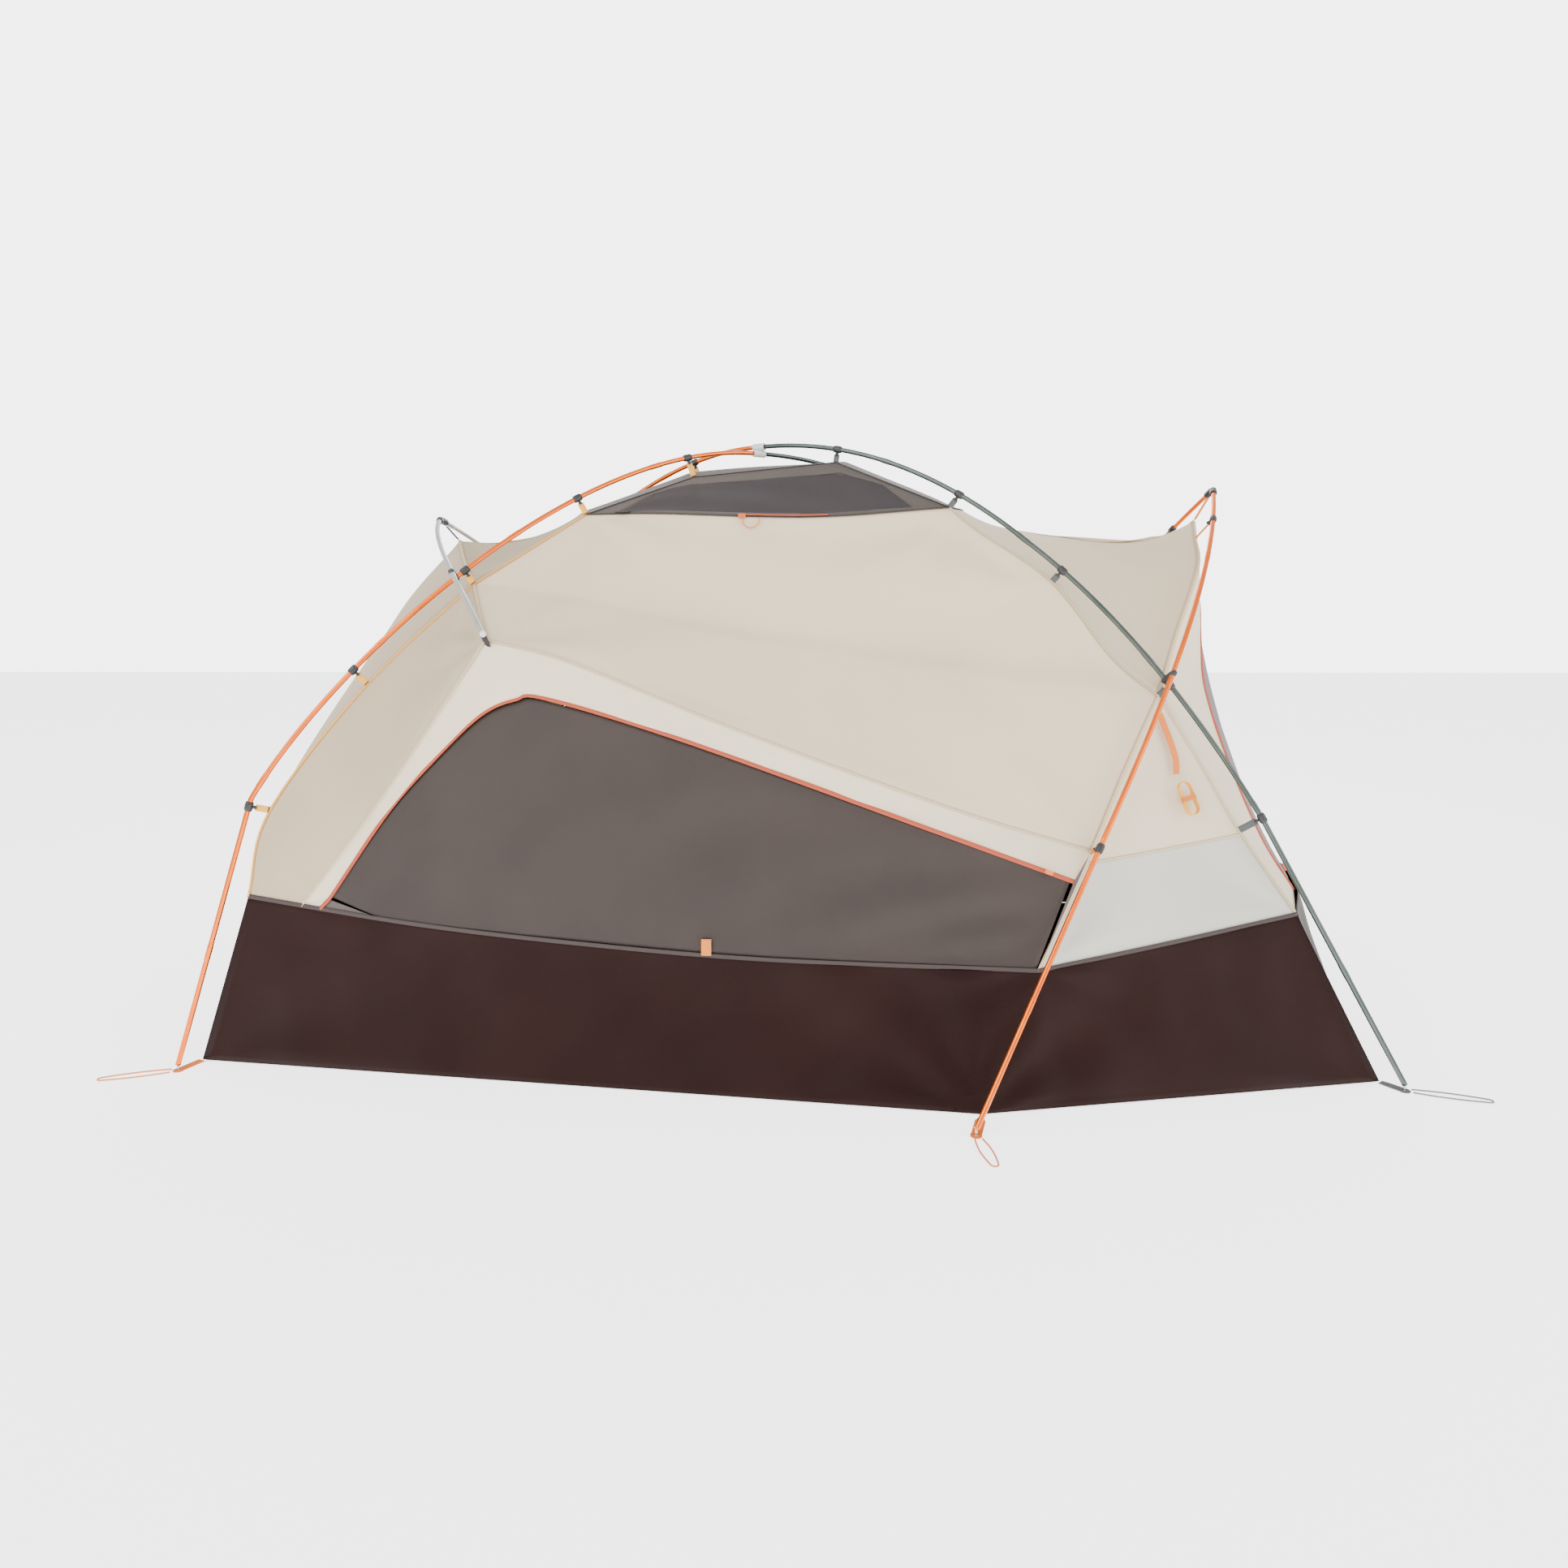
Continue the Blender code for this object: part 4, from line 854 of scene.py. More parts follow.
on_both_sides("tub_skirt", tub_side(), TUB_CLOTH, slot="tub_cloth", declare="stretched",
              node="tub_wall")
for end, corner, rim, seed in (("foot", FLOOR_END, END_RIM, 21), ("door", FLOOR_DOOR, DOOR_RIM, 31)):
    cloth("tub_skirt_" + end, tub_end(corner, rim, seed), TUB_CLOTH, slot="tub_cloth",
          declare="stretched", node="tub_wall_" + end)
print("tub skirt done")

# %% [markdown]
# ## The long sides
#
# Above the tub the cloth is one skin, cut into panels at the seams. It hangs from the poles by
# its seams, so each panel is a taut patch with shallow folds that fan from its ties. The window
# is mesh, with a cover of the same cream cloth zipped in behind it, hinged along the sill.

# %% The long sides
ROOF_LEFT = np.vstack([smooth([EAVE_CORNER, TIE_EAVE]), smooth([TIE_EAVE, TIE_ROOF])[1:]])
ROOF_RIGHT = np.vstack([ARCH_SEAM_LOW[24:], POLE_SEAM_DOOR[::-1][1:]])
BAND_OUTER = np.vstack([GUSSET_SEAM, SIDE_SEAM[1:]])
SILL = TUB_RIM[20:]
GUSSET_RIM = sample(TUB_RIM, np.linspace(0, 0.07, 8))
GUSSET_RIM[-1] = TUB_GUSSET


def line(a, b, count=2):
    """Evenly spaced points from a to b."""
    return np.linspace(np.asarray(a, float), np.asarray(b, float), count)


def upper_side():
    """Between four seams, hollowed by 10 mm, with folds that fan out of each tie."""
    grid = coons(SIDE_SEAM, VENT_EDGE, ROOF_LEFT, ROOF_RIGHT, even(110), even(76))
    u, v = even(110)[None], even(76)[:, None]
    depth = -0.010 * np.sin(math.pi * u) * np.sin(math.pi * v) + 0.0022 * noise(5 * u, 2 * v, 41)
    for corner, reach, size, count, seed in (
            (EAVE_CORNER, 0.22, 0.0040, 8, 42), (TIE_ARCH, 0.24, 0.0040, 8, 43),
            (TIE_HOOD, 0.16, 0.0028, 7, 44), (TIE_ROOF, 0.16, 0.0028, 7, 45),
            (TIE_VENT, 0.14, 0.0024, 7, 46)):
        depth = depth + folds(grid, corner, reach, size, count, seed)
    return settle(grid, depth)

# %% [markdown]
# ## The window
#
# The mesh is sewn to the sill and the zip, with a cream cover hung behind it. Satin ripples run
# slantwise, because the mesh is pulled along one diagonal more than the other.

# %% The window
def window_patch(rows, cols, shares_v, behind, ripple, seed):
    """Between sill and zip, pushed inwards, with slanted sine ripples that die at the edges."""
    left, right = line(SILL[0], WINDOW_ZIP[0]), line(SILL[-1], WINDOW_ZIP[-1])
    grid = coons(SILL, WINDOW_ZIP, left, right, np.linspace(0.004, 0.996, cols),
                 np.linspace(*shares_v, rows))
    u, v = even(cols)[None], even(rows)[:, None]
    slant = np.sin(2 * math.pi * (5.5 * u - 1.9 * v) + 1.4 * noise(2 * u, 2 * v, seed, 5, 3.0))
    grid = grid - behind * normals(grid)
    return settle(grid, ripple * slant * np.sin(math.pi * v) + 0.4 * ripple
                  * noise(3 * u, 2 * v, seed + 1))


def band():
    """The strip from the zip to the outer seam, finely gathered."""
    left, right = line(WINDOW_ZIP[0], BAND_OUTER[0]), line(WINDOW_ZIP[-1], BAND_OUTER[-1])
    grid = coons(WINDOW_ZIP, BAND_OUTER, left, right, even(190), even(14))
    u, v = even(190)[None], even(14)[:, None]
    return settle(grid, 0.0016 * noise(14 * u, 1.0 * v, 51) + 0.0010 * np.sin(150 * u) * v)

# %% [markdown]
# ## Corners and the wall beside the door
#
# A narrow panel closes the corner at the foot end. At the door end a triangle of two cloths, pale
# below and cream above, hangs under the crossing.

# %% Corners and the wall beside the door
def gusset():
    """The narrow corner panel, with folds from the eave's two ends."""
    grid = coons(GUSSET_RIM, smooth([TIE_EAVE, EAVE_CORNER]), POLE_SEAM_END, GUSSET_SEAM,
                 even(40), even(90))
    depth = folds(grid, TIE_EAVE, 0.14, 0.0035, 7, 61) + folds(grid, EAVE_CORNER, 0.14, 0.003, 7, 62)
    u, v = even(40)[None], even(90)[:, None]
    return settle(grid, depth + 0.002 * noise(2 * u, 4 * v, 63))


def side_wall():
    """A triangle under the crossing, with folds from the tub's corners."""
    apex = line(TIE_CROSS + [-0.006, 0, 0], TIE_CROSS + [0.006, 0, 0])
    grid = coons(TUB_RIM_DOOR, apex, ARCH_SEAM_LOW, KNEE_SEAM, even(60), even(80))
    u, v = even(60)[None], even(80)[:, None]
    depth = folds(grid, TUB_DOOR, 0.16, 0.0035, 7, 71) + folds(grid, TUB_MID, 0.14, 0.003, 7, 72)
    return settle(grid, depth + 0.0022 * noise(2 * u, 3 * v, 73))

# %% [markdown]
# ## Sewing the long sides
#
# Each patch is cut once and sewn on both sides. The window's rounded ends leave slivers beside the
# arch seam and the rim. A small ruled piece goes into each, but a thin dark gap is still left.

# %% Sewing the long sides
on_both_sides("upper_side", upper_side(), CREAM_CLOTH, slot="canopy_cloth",
              declare="stretched", node="upper_panel")
on_both_sides("window_frame_band", band(), BAND_CLOTH, slot="pale_cloth", declare="stretched",
              node="window_band")
on_both_sides("window_screen", window_patch(54, 130, (0.012, 0.988), 0, 0.0030, 81),
              WINDOW_MESH, thickness=0.0004, slot="mesh_cloth", declare="stretched",
              node="window_mesh")
on_both_sides("window_flap", window_patch(54, 130, (0.030, 0.975), 0.0085, 0.0006, 91),
              CREAM_CLOTH, slot="canopy_cloth", declare="stretched", node="window_cover",
              body="window_cover")
# The gussets wear the canopy cream darkened by painted shade.
on_both_sides("gusset_cloth", gusset(), CREAM_PAINTED_SHADE_FOOT_END, slot="canopy_cloth", declare="stretched",
              node="corner_gusset")
wall = side_wall()
on_both_sides("side_wall_low", wall[:30], SIDE_CLOTH, slot="pale_cloth",
              declare="stretched", node="side_wall")
on_both_sides("side_wall_high", wall[29:], CREAM_UPPER, slot="canopy_cloth",
              declare="stretched")


def ruled(first, second, shares, cols=8):
    """Straight lines between points at the same share of two paths."""
    low, high = sample(first, shares)[:, None], sample(second, shares)[:, None]
    across = even(cols)[None, :, None]
    return low * (1 - across) + high * across


rim_corner = int(np.argmin(np.abs(TUB_RIM[:, 0] + 0.872)))
ZIP_FOOT = TUB_RIM[rim_corner]
on_both_sides("band_foot", ruled(np.vstack([GUSSET_RIM[-1], ZIP_FOOT]),
                                 line(TUB_GUSSET, WINDOW_ZIP[0]), np.linspace(0.05, 1, 12)),
              BAND_CLOTH, slot="pale_cloth")
# These slivers are opaque; their colour paints the sheen and the cream cover that the window shows
# through its mesh.
on_both_sides("screen_corner", ruled(TUB_RIM[rim_corner:21], line(WINDOW_ZIP[0], SILL[0]),
                                     np.linspace(0, 0.95, 12)),
              EDGE_MESH, thickness=0.0004, slot="mesh_cloth")
inner = np.vstack([line(TUB_MID, WINDOW_ZIP[-1], 14), line(WINDOW_ZIP[-1], TIE_ARCH, 8)[1:]])
on_both_sides("screen_end", ruled(inner, ARCH_SEAM_LOW[:25], np.linspace(0.03, 0.97, 40)),
              EDGE_MESH, thickness=0.0004, slot="mesh_cloth")
print("side panels done")

# %% [markdown]
# ## The ends, the door and the roof
#
# The foot end is one taut wall under a small hood. At the door end, a cream band frames a large
# D of mesh that swells outwards, because it is cut wider than its opening. The roof is a narrow
# crown with a mesh vent on each slope, each in a border of grey cloth.

# %% The ends and the roof
CLIMB = smooth([TIE_EAVE, TIE_ROOF])
OVER_END = both_halves(EAVE_SEAM)
OVER_DOOR = both_halves(ARCH_SEAM_TOP)
DOOR_OUTER = both_halves(np.vstack([KNEE_SEAM, ARCH_SEAM_TOP[1:]]))


END_SWELL = 0.030


def end_wall():
    """Between rim and eave, swelling 30 mm outwards as sin(pi u) sin(pi v)."""
    grid = coons(both_halves(END_RIM), OVER_END, POLE_SEAM_END, POLE_SEAM_END * MIRROR,
                 even(90), even(80))
    u, v = even(90)[None], even(80)[:, None]
    grid = grid - END_SWELL * (np.sin(math.pi * u) * np.sin(math.pi * v))[..., None] * normals(grid)
    return settle(grid, 0.003 * noise(3 * u, 3 * v, 101))


SAG_FOOT, SAG_DOOR = 0.027, 0.066


def sag(grid, depth):
    """Lets a patch hang: depth sin(pi u) sin(pi v) along its normals, which point down here."""
    u, v = even(grid.shape[1])[None], even(len(grid))[:, None]
    return grid + (depth * np.sin(math.pi * u) * np.sin(math.pi * v))[..., None] * normals(grid)


def foot_hood():
    """The saddle between eave and crown, hung 27 mm."""
    grid = sag(coons(OVER_END, ROOF_END, CLIMB, CLIMB * MIRROR, even(80), even(40)), SAG_FOOT)
    u, v = even(80)[None], even(40)[:, None]
    return settle(grid, 0.0018 * noise(3 * u, 2 * v, 102))


def door_hood():
    """The saddle between crown and arch, hung 66 mm, with folds from the crossing and the peak."""
    grid = coons(ROOF_DOOR, OVER_DOOR, POLE_SEAM_DOOR, POLE_SEAM_DOOR * MIRROR, even(90), even(56))
    grid = sag(grid, SAG_DOOR)
    u, v = even(90)[None], even(56)[:, None]
    depth = 0.0020 * noise(3 * u, 3 * v, 103) + folds(grid, TIE_CROSS, 0.14, 0.003, 7, 104)
    return settle(grid, depth + folds(grid, PEAK_DOOR, 0.12, 0.0025, 7, 105))


def door_band():
    """The cream strip from the door's outer seams to its zip."""
    left, right = line(DOOR_OUTER[0], DOOR_ZIP[0]), line(DOOR_OUTER[-1], DOOR_ZIP[-1])
    grid = coons(DOOR_OUTER, DOOR_ZIP, left, right, even(200), np.linspace(0, 0.985, 12))
    return settle(grid, 0.0014 * noise(14 * even(200)[None], even(12)[:, None], 106))


DOOR_SILL, DOOR_HEIGHT, DOOR_ROUND, DOOR_WIDTH = 0.309, 0.609, 1.6, 0.985
PROW_HEIGHTS = (0, 0.08, 0.25, 0.5, 0.8, 1)
PROW_X = (1.122, 1.095, 1.045, 0.988, 0.938, 0.915)


def door_bulge(rows=70, cols=90):
    """Rows from sill to top: x = prow - (prow - side) |t|^1.6 for t from -1 to 1 across."""
    half = DOOR_ZIP[:len(DOOR_ZIP) // 2 + 1]
    side = sample(half, np.linspace(0.008, 0.97, rows))[:, None]
    across = np.linspace(-1, 1, cols)[None]
    height = (side[..., 2] - DOOR_SILL) / DOOR_HEIGHT
    prow = np.interp(height, PROW_HEIGHTS, PROW_X)
    x = prow - (prow - side[..., 0]) * np.abs(across)**DOOR_ROUND
    z = side[..., 2] + 0.003 * (1 - height) + 0 * across
    return np.stack([x, side[..., 1] * across * DOOR_WIDTH, z], -1)

# %% [markdown]
# ## The vents
#
# Each slope of the roof holds a mesh, framed by a ribbon of grey cloth.

# %% The vents
def vent_patch(cuts, slope, rows, cols, depth, mitre=(0, 0)):
    """Ruled between the vent's lower edge and the ridge, inside the given shares of each."""
    edges = [sample(edge, np.linspace(cut - out, 1 - cut + out, cols))[None]
             for edge, cut, out in zip((VENT_EDGE, RIDGE), cuts, mitre)]
    rise = np.linspace(*slope, rows)[:, None, None]
    grid = edges[0] * (1 - rise) + edges[1] * rise
    return settle(grid, depth * noise(4 * even(cols)[None], 2 * even(rows)[:, None], 111))

# %% [markdown]
# ## Sewing the ends and the roof
#
# The patches become cloth in the order a tent is sewn: ends, hoods, door and roof.

# %% Sewing the ends and the roof
# The end wall wears the canopy cream darkened by painted shade.
cloth("end_wall", end_wall(), CREAM_PAINTED_SHADE_FOOT_END, slot="canopy_cloth", declare="stretched",
      node="end_wall_foot")
# The foot hood wears the canopy cream darkened by painted shade.
cloth("foot_hood", foot_hood(), CREAM_PAINTED_SHADE_FOOT_HOOD, slot="canopy_cloth", declare="stretched",
      node="hood_foot")
# The door hood wears the canopy cream a little darkened by painted shade.
cloth("door_hood", door_hood(), CREAM_PAINTED_SHADE_DOOR_HOOD, slot="canopy_cloth", declare="stretched",
      node="hood_door")
cloth("door_frame", door_band(), BAND_CLOTH, slot="pale_cloth", declare="stretched",
      node="door_wall")
cloth("door_screen", door_bulge(), DOOR_MESH, thickness=0.0004, slot="mesh_cloth",
      declare="stretched", node="door_panel", body="door")
crown = coons(RIDGE, RIDGE * MIRROR, ROOF_END, ROOF_DOOR, even(100), even(30))
cloth("crown", settle(crown, 0.0015 * noise(4 * even(100)[None], 2 * even(30)[:, None], 112)),
      ROOF_CLOTH, slot="brown_cloth", declare="stretched", node="roof_crown")
on_both_sides("vent_screen", vent_patch((0.085, 0.212), (0.060, 0.800), 24, 70, 0.0015),
              VENT_MESH, thickness=0.0004, slot="mesh_cloth", declare="stretched",
              node="vent_mesh")


def vent_frame():
    """A ribbon whose inner edge follows the opening and whose outer edge the roof's seams."""
    def rim(grid):
        return np.concatenate([grid[0], grid[1:-1, -1], grid[-1, ::-1], grid[-2:0:-1, 0],
                               grid[:1, 0]])
    inner = rim(vent_patch((0.092, 0.220), (0.075, 0.785), 24, 70, 0))
    outer = rim(vent_patch((0.002, 0.002), (0.0, 1.0), 24, 70, 0))
    share = even(6)[:, None, None]
    return outer[None] * (1 - share) + inner[None] * share


on_both_sides("vent_surround", vent_frame(), ROOF_CLOTH, slot="brown_cloth",
              node="vent_border")
print("ends and roof done")

# %% [markdown]
# ## Poles
#
# Each main pole is a tube in six sections that plug into one another, so a slightly wider
# ferrule shows every foot or so. It stands straight to a pre-bent knee and then bows to the hub.
# The foot halves are orange and the door halves grey. The arch and the eave pole meet elbows.

# %% Poles
POLE_R, TIP_R, FOOT_LIFT, ELBOW_GRIP, HUB_SOCKET = 0.0048, 0.0022, 0.012, 0.022, 0.014
HUB_LOW, HUB_HIGH = 1.209, 1.2232
ARCH_TOP = np.array([0.9596, 0.0, 1.130])
EAVE_TIP = np.array([-0.5385, -0.4846, 0.8187])
EAVE_TOP = np.array([-0.7734, 0.0, 1.0675])
SPAN = float(np.linalg.norm(FOOT_DOOR * MIRROR - FOOT_END))
HEADING = (FOOT_DOOR * MIRROR - FOOT_END) / SPAN
CROSSING = -FOOT_END[1] / HEADING[1]


def main_half(start, heading, knee, pull_knee, pull_hub, run, lift):
    """A straight leg to the knee, then a cubic arc that arrives level at the hub."""
    leg = np.linspace([0, FOOT_LIFT], knee, 40)[:-1]
    flat = np.vstack([leg, bezier(knee, pull_knee, pull_hub, [run, HUB_LOW], 120)])
    path = start + flat[:, :1] * heading + flat[:, 1:] * np.array([0, 0, 1.0])
    share = np.clip((path[:, 2:] - 1.0) / (HUB_LOW - 1.0), 0, 1)
    return path + lift * share * np.array([0, 0, HUB_HIGH - HUB_LOW])


def foot_half(lift):
    """The half of a main pole that stands at the foot end."""
    return main_half(FOOT_END, HEADING, [0.160, 0.510], [0.3095, 0.7564], [0.7971, HUB_LOW],
                     CROSSING - HUB_SOCKET, lift)


def door_half(lift):
    """The half of a main pole that stands at the door end."""
    return main_half(FOOT_DOOR * MIRROR, -HEADING, [0.2674, 0.480], [0.5431, 0.9085],
                     [0.8929, HUB_LOW], SPAN - CROSSING - HUB_SOCKET, lift)


def shortened(path, amount):
    """The path less the given length at its end."""
    return sample(path, np.linspace(0, 1 - amount / along(path)[-1], len(path)))

# %% [markdown]
# ## The arch and the eave pole
#
# The arch bends over the door end from one side foot to the other. The short eave pole only holds
# up the foot hood. Both halves meet in a bent elbow, so each is shortened by its grip.

# %% The arch and the eave pole
def arch_half():
    """A leg and a cubic arc in a plane that leans towards the door."""
    bow = bezier([0.6062, 0.370], [0.515, 0.560], [0.395, 0.905], [0, ARCH_TOP[2]], 120)
    flat = np.vstack([np.linspace([0.775, FOOT_LIFT], [0.6062, 0.370], 40)[:-1], bow])
    lean = (ARCH_TOP[0] - FOOT_MID[0]) / (ARCH_TOP[2] - FOOT_LIFT)
    return shortened(np.stack([FOOT_MID[0] + lean * (flat[:, 1] - FOOT_LIFT), -flat[:, 0],
                               flat[:, 1]], 1), ELBOW_GRIP)


def eave_half():
    """A cubic arc from the eave's tip to its top, leaning with its height."""
    bow = bezier([0.4846, EAVE_TIP[2]], [0.3425, 0.9030], [0.2395, 1.0125], [0, EAVE_TOP[2]], 90)
    share = (bow[:, 1] - EAVE_TIP[2]) / (EAVE_TOP[2] - EAVE_TIP[2])
    return shortened(np.stack([EAVE_TIP[0] + share * (EAVE_TOP[0] - EAVE_TIP[0]), -bow[:, 0],
                               bow[:, 1]], 1), ELBOW_GRIP)


def ferruled(path, spacing, first):
    """Radii of the tube: a step of 0.5 mm, 28 mm long, where each section plugs into the next."""
    run = along(path)
    phase = np.mod(run - first, spacing)
    wide = (phase < 0.028) & (run > first)
    return POLE_R + 0.0005 * wide

# %% [markdown]
# ## Assembling the poles
#
# Pole sections plug into each other, and each joint shows as a slightly thicker ferrule. The ends
# that stand on the ground are thinner tips.

# %% Assembling the poles
FRONT_FOOT = foot_half(0)
REAR_FOOT = foot_half(1) * MIRROR
FRONT_DOOR = door_half(1) * MIRROR
REAR_DOOR = door_half(0)
ARCH = arch_half()
EAVE = eave_half()
for name, path, finish_of, slot, cad in (
        ("pole_a_foot", FRONT_FOOT, ORANGE_METAL, "orange_pole", "main_pole_a_foot_half"),
        ("pole_b_foot", REAR_FOOT, ORANGE_METAL, "orange_pole", "main_pole_b_foot_half"),
        ("pole_b_door", FRONT_DOOR, GREY_METAL, "grey_pole", "main_pole_b_door_half"),
        ("pole_a_door", REAR_DOOR, GREY_METAL, "grey_pole", "main_pole_a_door_half"),
        ("arch_front", ARCH, ORANGE_METAL, "orange_pole", "arch_pole_front"),
        ("arch_rear", ARCH * MIRROR, ORANGE_METAL, "orange_pole", "arch_pole_rear"),
        ("eave_front", EAVE, SILVER_METAL, "silver_pole", "eave_pole_front"),
        ("eave_rear", EAVE * MIRROR, SILVER_METAL, "silver_pole", "eave_pole_rear")):
    dense = sample(path, even(320))
    tube(name, dense, ferruled(dense, 0.34, 0.21), finish_of, sides=20, node=cad,
         up=(0.02, 0.99, 0.1) if "eave" not in name else (0.9, 0.1, 0.1))
    if "eave" not in name:
        foot = path[0]
        tip = np.stack([[foot[0], foot[1], z] for z in (0.0012, 0.004, 0.009, FOOT_LIFT + 0.004)])
        tube(name + "_tip", tip, TIP_R, SILVER_METAL, sides=14,
             up=(1, 0, 0))
print("poles done, main span %.3f m" % SPAN)

# %% [markdown]
# ## Clips, straps and trim
#
# The skin hangs from the poles by webbing straps with moulded clips that snap round the tube.
# The clip goes at the point of the pole nearest to the tie. Trim is a flattened tube laid on a
# seam, so that it follows the curve, with its flat side facing away from the tent's middle.

# %% Clips, straps and trim
def outward(path):
    """Directions away from the tent's middle, square to the path."""
    path = np.asarray(path, float)
    away = path - np.stack([0.6 * path[:, 0], 0 * path[:, 0], 0.3 + 0 * path[:, 0]], 1)
    way = unit(np.gradient(path, axis=0))
    return unit(away - (away * way).sum(1, keepdims=True) * way)


def trim(name, path, width, thick, material, lift=0.0008, sides=10, body=TENT,
         both=True):
    """A tape of the given width and thickness along a seam, lifted a little off the cloth."""
    up = outward(path)
    raised = path + lift * up
    for side, flip in SIDES if both else (("", 1.0),):
        own = body + side if both and body != TENT else body
        tube(name + side, raised * flip, width / 2, material, sides=sides, up=up * flip,
             squash=thick / width, body=own)


def nearest(path, point):
    """The path's point nearest to a given one, and its direction there."""
    index = int(np.argmin(np.linalg.norm(path - point, axis=1)))
    index = min(max(index, 1), len(path) - 2)
    return path[index], unit(path[index + 1] - path[index - 1])

# %% [markdown]
# ## Clips and ties
#
# A clip is a collar round the pole with a neck towards the cloth, a flat strap, and a row of dark
# stitches where it is sewn on.

# %% Clips and ties
def clip(name, pole, tie, tape, width=0.013):
    """A moulded collar round the pole, a neck towards the tie, and a strap down to it."""
    centre, way = nearest(pole, tie)
    down = unit(tie - centre)
    body = centre + np.linspace(-0.009, 0.009, 9)[:, None] * way
    tube(name + "_collar", body, [0.0062, 0.0070, 0.0074, 0.0074, 0.0074, 0.0074, 0.0074,
                                  0.0070, 0.0062], BLACK_PLASTIC, sides=16, up=down)
    neck = centre + down * np.linspace(0.004, 0.0135, 5)[:, None]
    tube(name + "_neck", neck, [0.0045, 0.0050, 0.0062, 0.0068, 0.0064], BLACK_PLASTIC,
         sides=14, up=way, squash=0.5)
    start = centre + down * 0.0115
    if np.linalg.norm(tie - start) > 0.006:
        strap = line(start, tie + down * 0.004, 12)
        out = np.broadcast_to(np.cross(down, way), strap.shape)
        tube(name + "_strap", strap, width / 2, tape, sides=12, up=out, squash=0.16)
        tack = tie - down * 0.003 + np.linspace(-0.45, 0.45, 8)[:, None] * width * way
        tube(name + "_bartack", tack + 0.0012 * np.cross(down, way), 0.0011, DARK_THREAD,
             sides=8, up=down)


TIES = (("low", FRONT_FOOT, TIE_LOW, YELLOW_TAPE, "orange_webbing"),
        ("hip", FRONT_FOOT, TIE_HIP, YELLOW_TAPE, "orange_webbing"),
        ("eave", FRONT_FOOT, TIE_EAVE, YELLOW_TAPE, "orange_webbing"),
        ("roof", FRONT_FOOT, TIE_ROOF, YELLOW_TAPE, "orange_webbing"),
        ("crown_foot", FRONT_FOOT, CROWN_END, YELLOW_TAPE, "orange_webbing"),
        ("crown_door", FRONT_DOOR, CROWN_DOOR, GREY_TAPE, "grey_webbing"),
        ("vent", FRONT_DOOR, TIE_VENT, GREY_TAPE, "grey_webbing"),
        ("hood", FRONT_DOOR, TIE_HOOD, GREY_TAPE, "grey_webbing"),
        ("cross", FRONT_DOOR, TIE_CROSS, GREY_TAPE, "grey_webbing"),
        ("knee", FRONT_DOOR, TIE_KNEE, GREY_TAPE, "grey_webbing"),
        ("arch", ARCH, TIE_ARCH, ORANGE_TAPE, "orange_webbing"),
        ("arch_high", ARCH, ARCH_SEAM_TOP[72], ORANGE_TAPE, "orange_webbing"))
for name, pole, tie, tape, slot in TIES:
    clip("clip_" + name + "_front", pole, tie, tape)
    mirrored = {id(FRONT_FOOT): REAR_FOOT, id(FRONT_DOOR): REAR_DOOR}.get(id(pole), pole * MIRROR)
    clip("clip_" + name + "_rear", mirrored, tie * MIRROR, tape)
print("clips:", 2 * len(TIES))

# %% [markdown]
# ## Bindings, tapes and piping
#
# Every seam gets a tape of its own width. They are listed once, with width and thickness.

# %% Bindings, tapes and piping
WHOLE_ZIP = np.vstack([line(ZIP_FOOT, WINDOW_ZIP[0], 6)[:-1], WINDOW_ZIP])
for name, path, width, thick, material, slot in (
        ("tub_binding", np.vstack([TUB_RIM, TUB_RIM_DOOR[1:]]), 0.009, 0.0026, DARK_TAPE, "tub_cloth"),
        ("tape_side", SIDE_SEAM, 0.006, 0.0022, SEAM_TAPE, "pale_cloth"),
        ("tape_gusset", GUSSET_SEAM, 0.006, 0.0022, SEAM_TAPE, "pale_cloth"),
        ("tape_pole_end", POLE_SEAM_END, 0.007, 0.0024, YELLOW_TAPE, "orange_webbing"),
        ("tape_pole_door", POLE_SEAM_DOOR, 0.007, 0.0024, SEAM_TAPE, "pale_cloth"),
        ("tape_climb", CLIMB, 0.007, 0.0024, YELLOW_TAPE, "orange_webbing"),
        ("tape_knee", KNEE_SEAM, 0.007, 0.0024, SEAM_TAPE, "pale_cloth"),
        ("tape_arch_low", ARCH_SEAM_LOW, 0.007, 0.0024, SEAM_TAPE, "pale_cloth"),
        ("tape_arch_top", ARCH_SEAM_TOP, 0.007, 0.0024, SEAM_TAPE, "pale_cloth"),
        ("tape_eave", smooth([TIE_EAVE, EAVE_CORNER]), 0.006, 0.0022, SEAM_TAPE, "pale_cloth"),
        ("tape_eave_seam", EAVE_SEAM, 0.006, 0.0022, SEAM_TAPE, "pale_cloth"),
        ("tape_vent", VENT_EDGE, 0.007, 0.0024, DARK_TAPE, "brown_cloth"),
        ("tape_ridge", RIDGE, 0.006, 0.0022, DARK_TAPE, "brown_cloth"),
        ("side_wall_seam", wall[29], 0.004, 0.0016, SEAM_TAPE, "pale_cloth"),
        ("window_piping", WHOLE_ZIP, 0.0085, 0.0036, RED_ZIP, "zip_pull"),
        ("tub_binding_end", END_RIM, 0.009, 0.0026, DARK_TAPE, "tub_cloth"),
        ("tub_binding_door", DOOR_RIM, 0.009, 0.0026, DARK_TAPE, "tub_cloth")):
    trim(name, path, width, thick, material)
trim("door_piping", DOOR_ZIP, 0.0085, 0.0036, RED_ZIP, both=False)
trim("roof_edge_foot", ROOF_END, 0.007, 0.0024, DARK_TAPE, both=False)
trim("roof_edge_door", ROOF_DOOR, 0.007, 0.0024, DARK_TAPE, both=False)
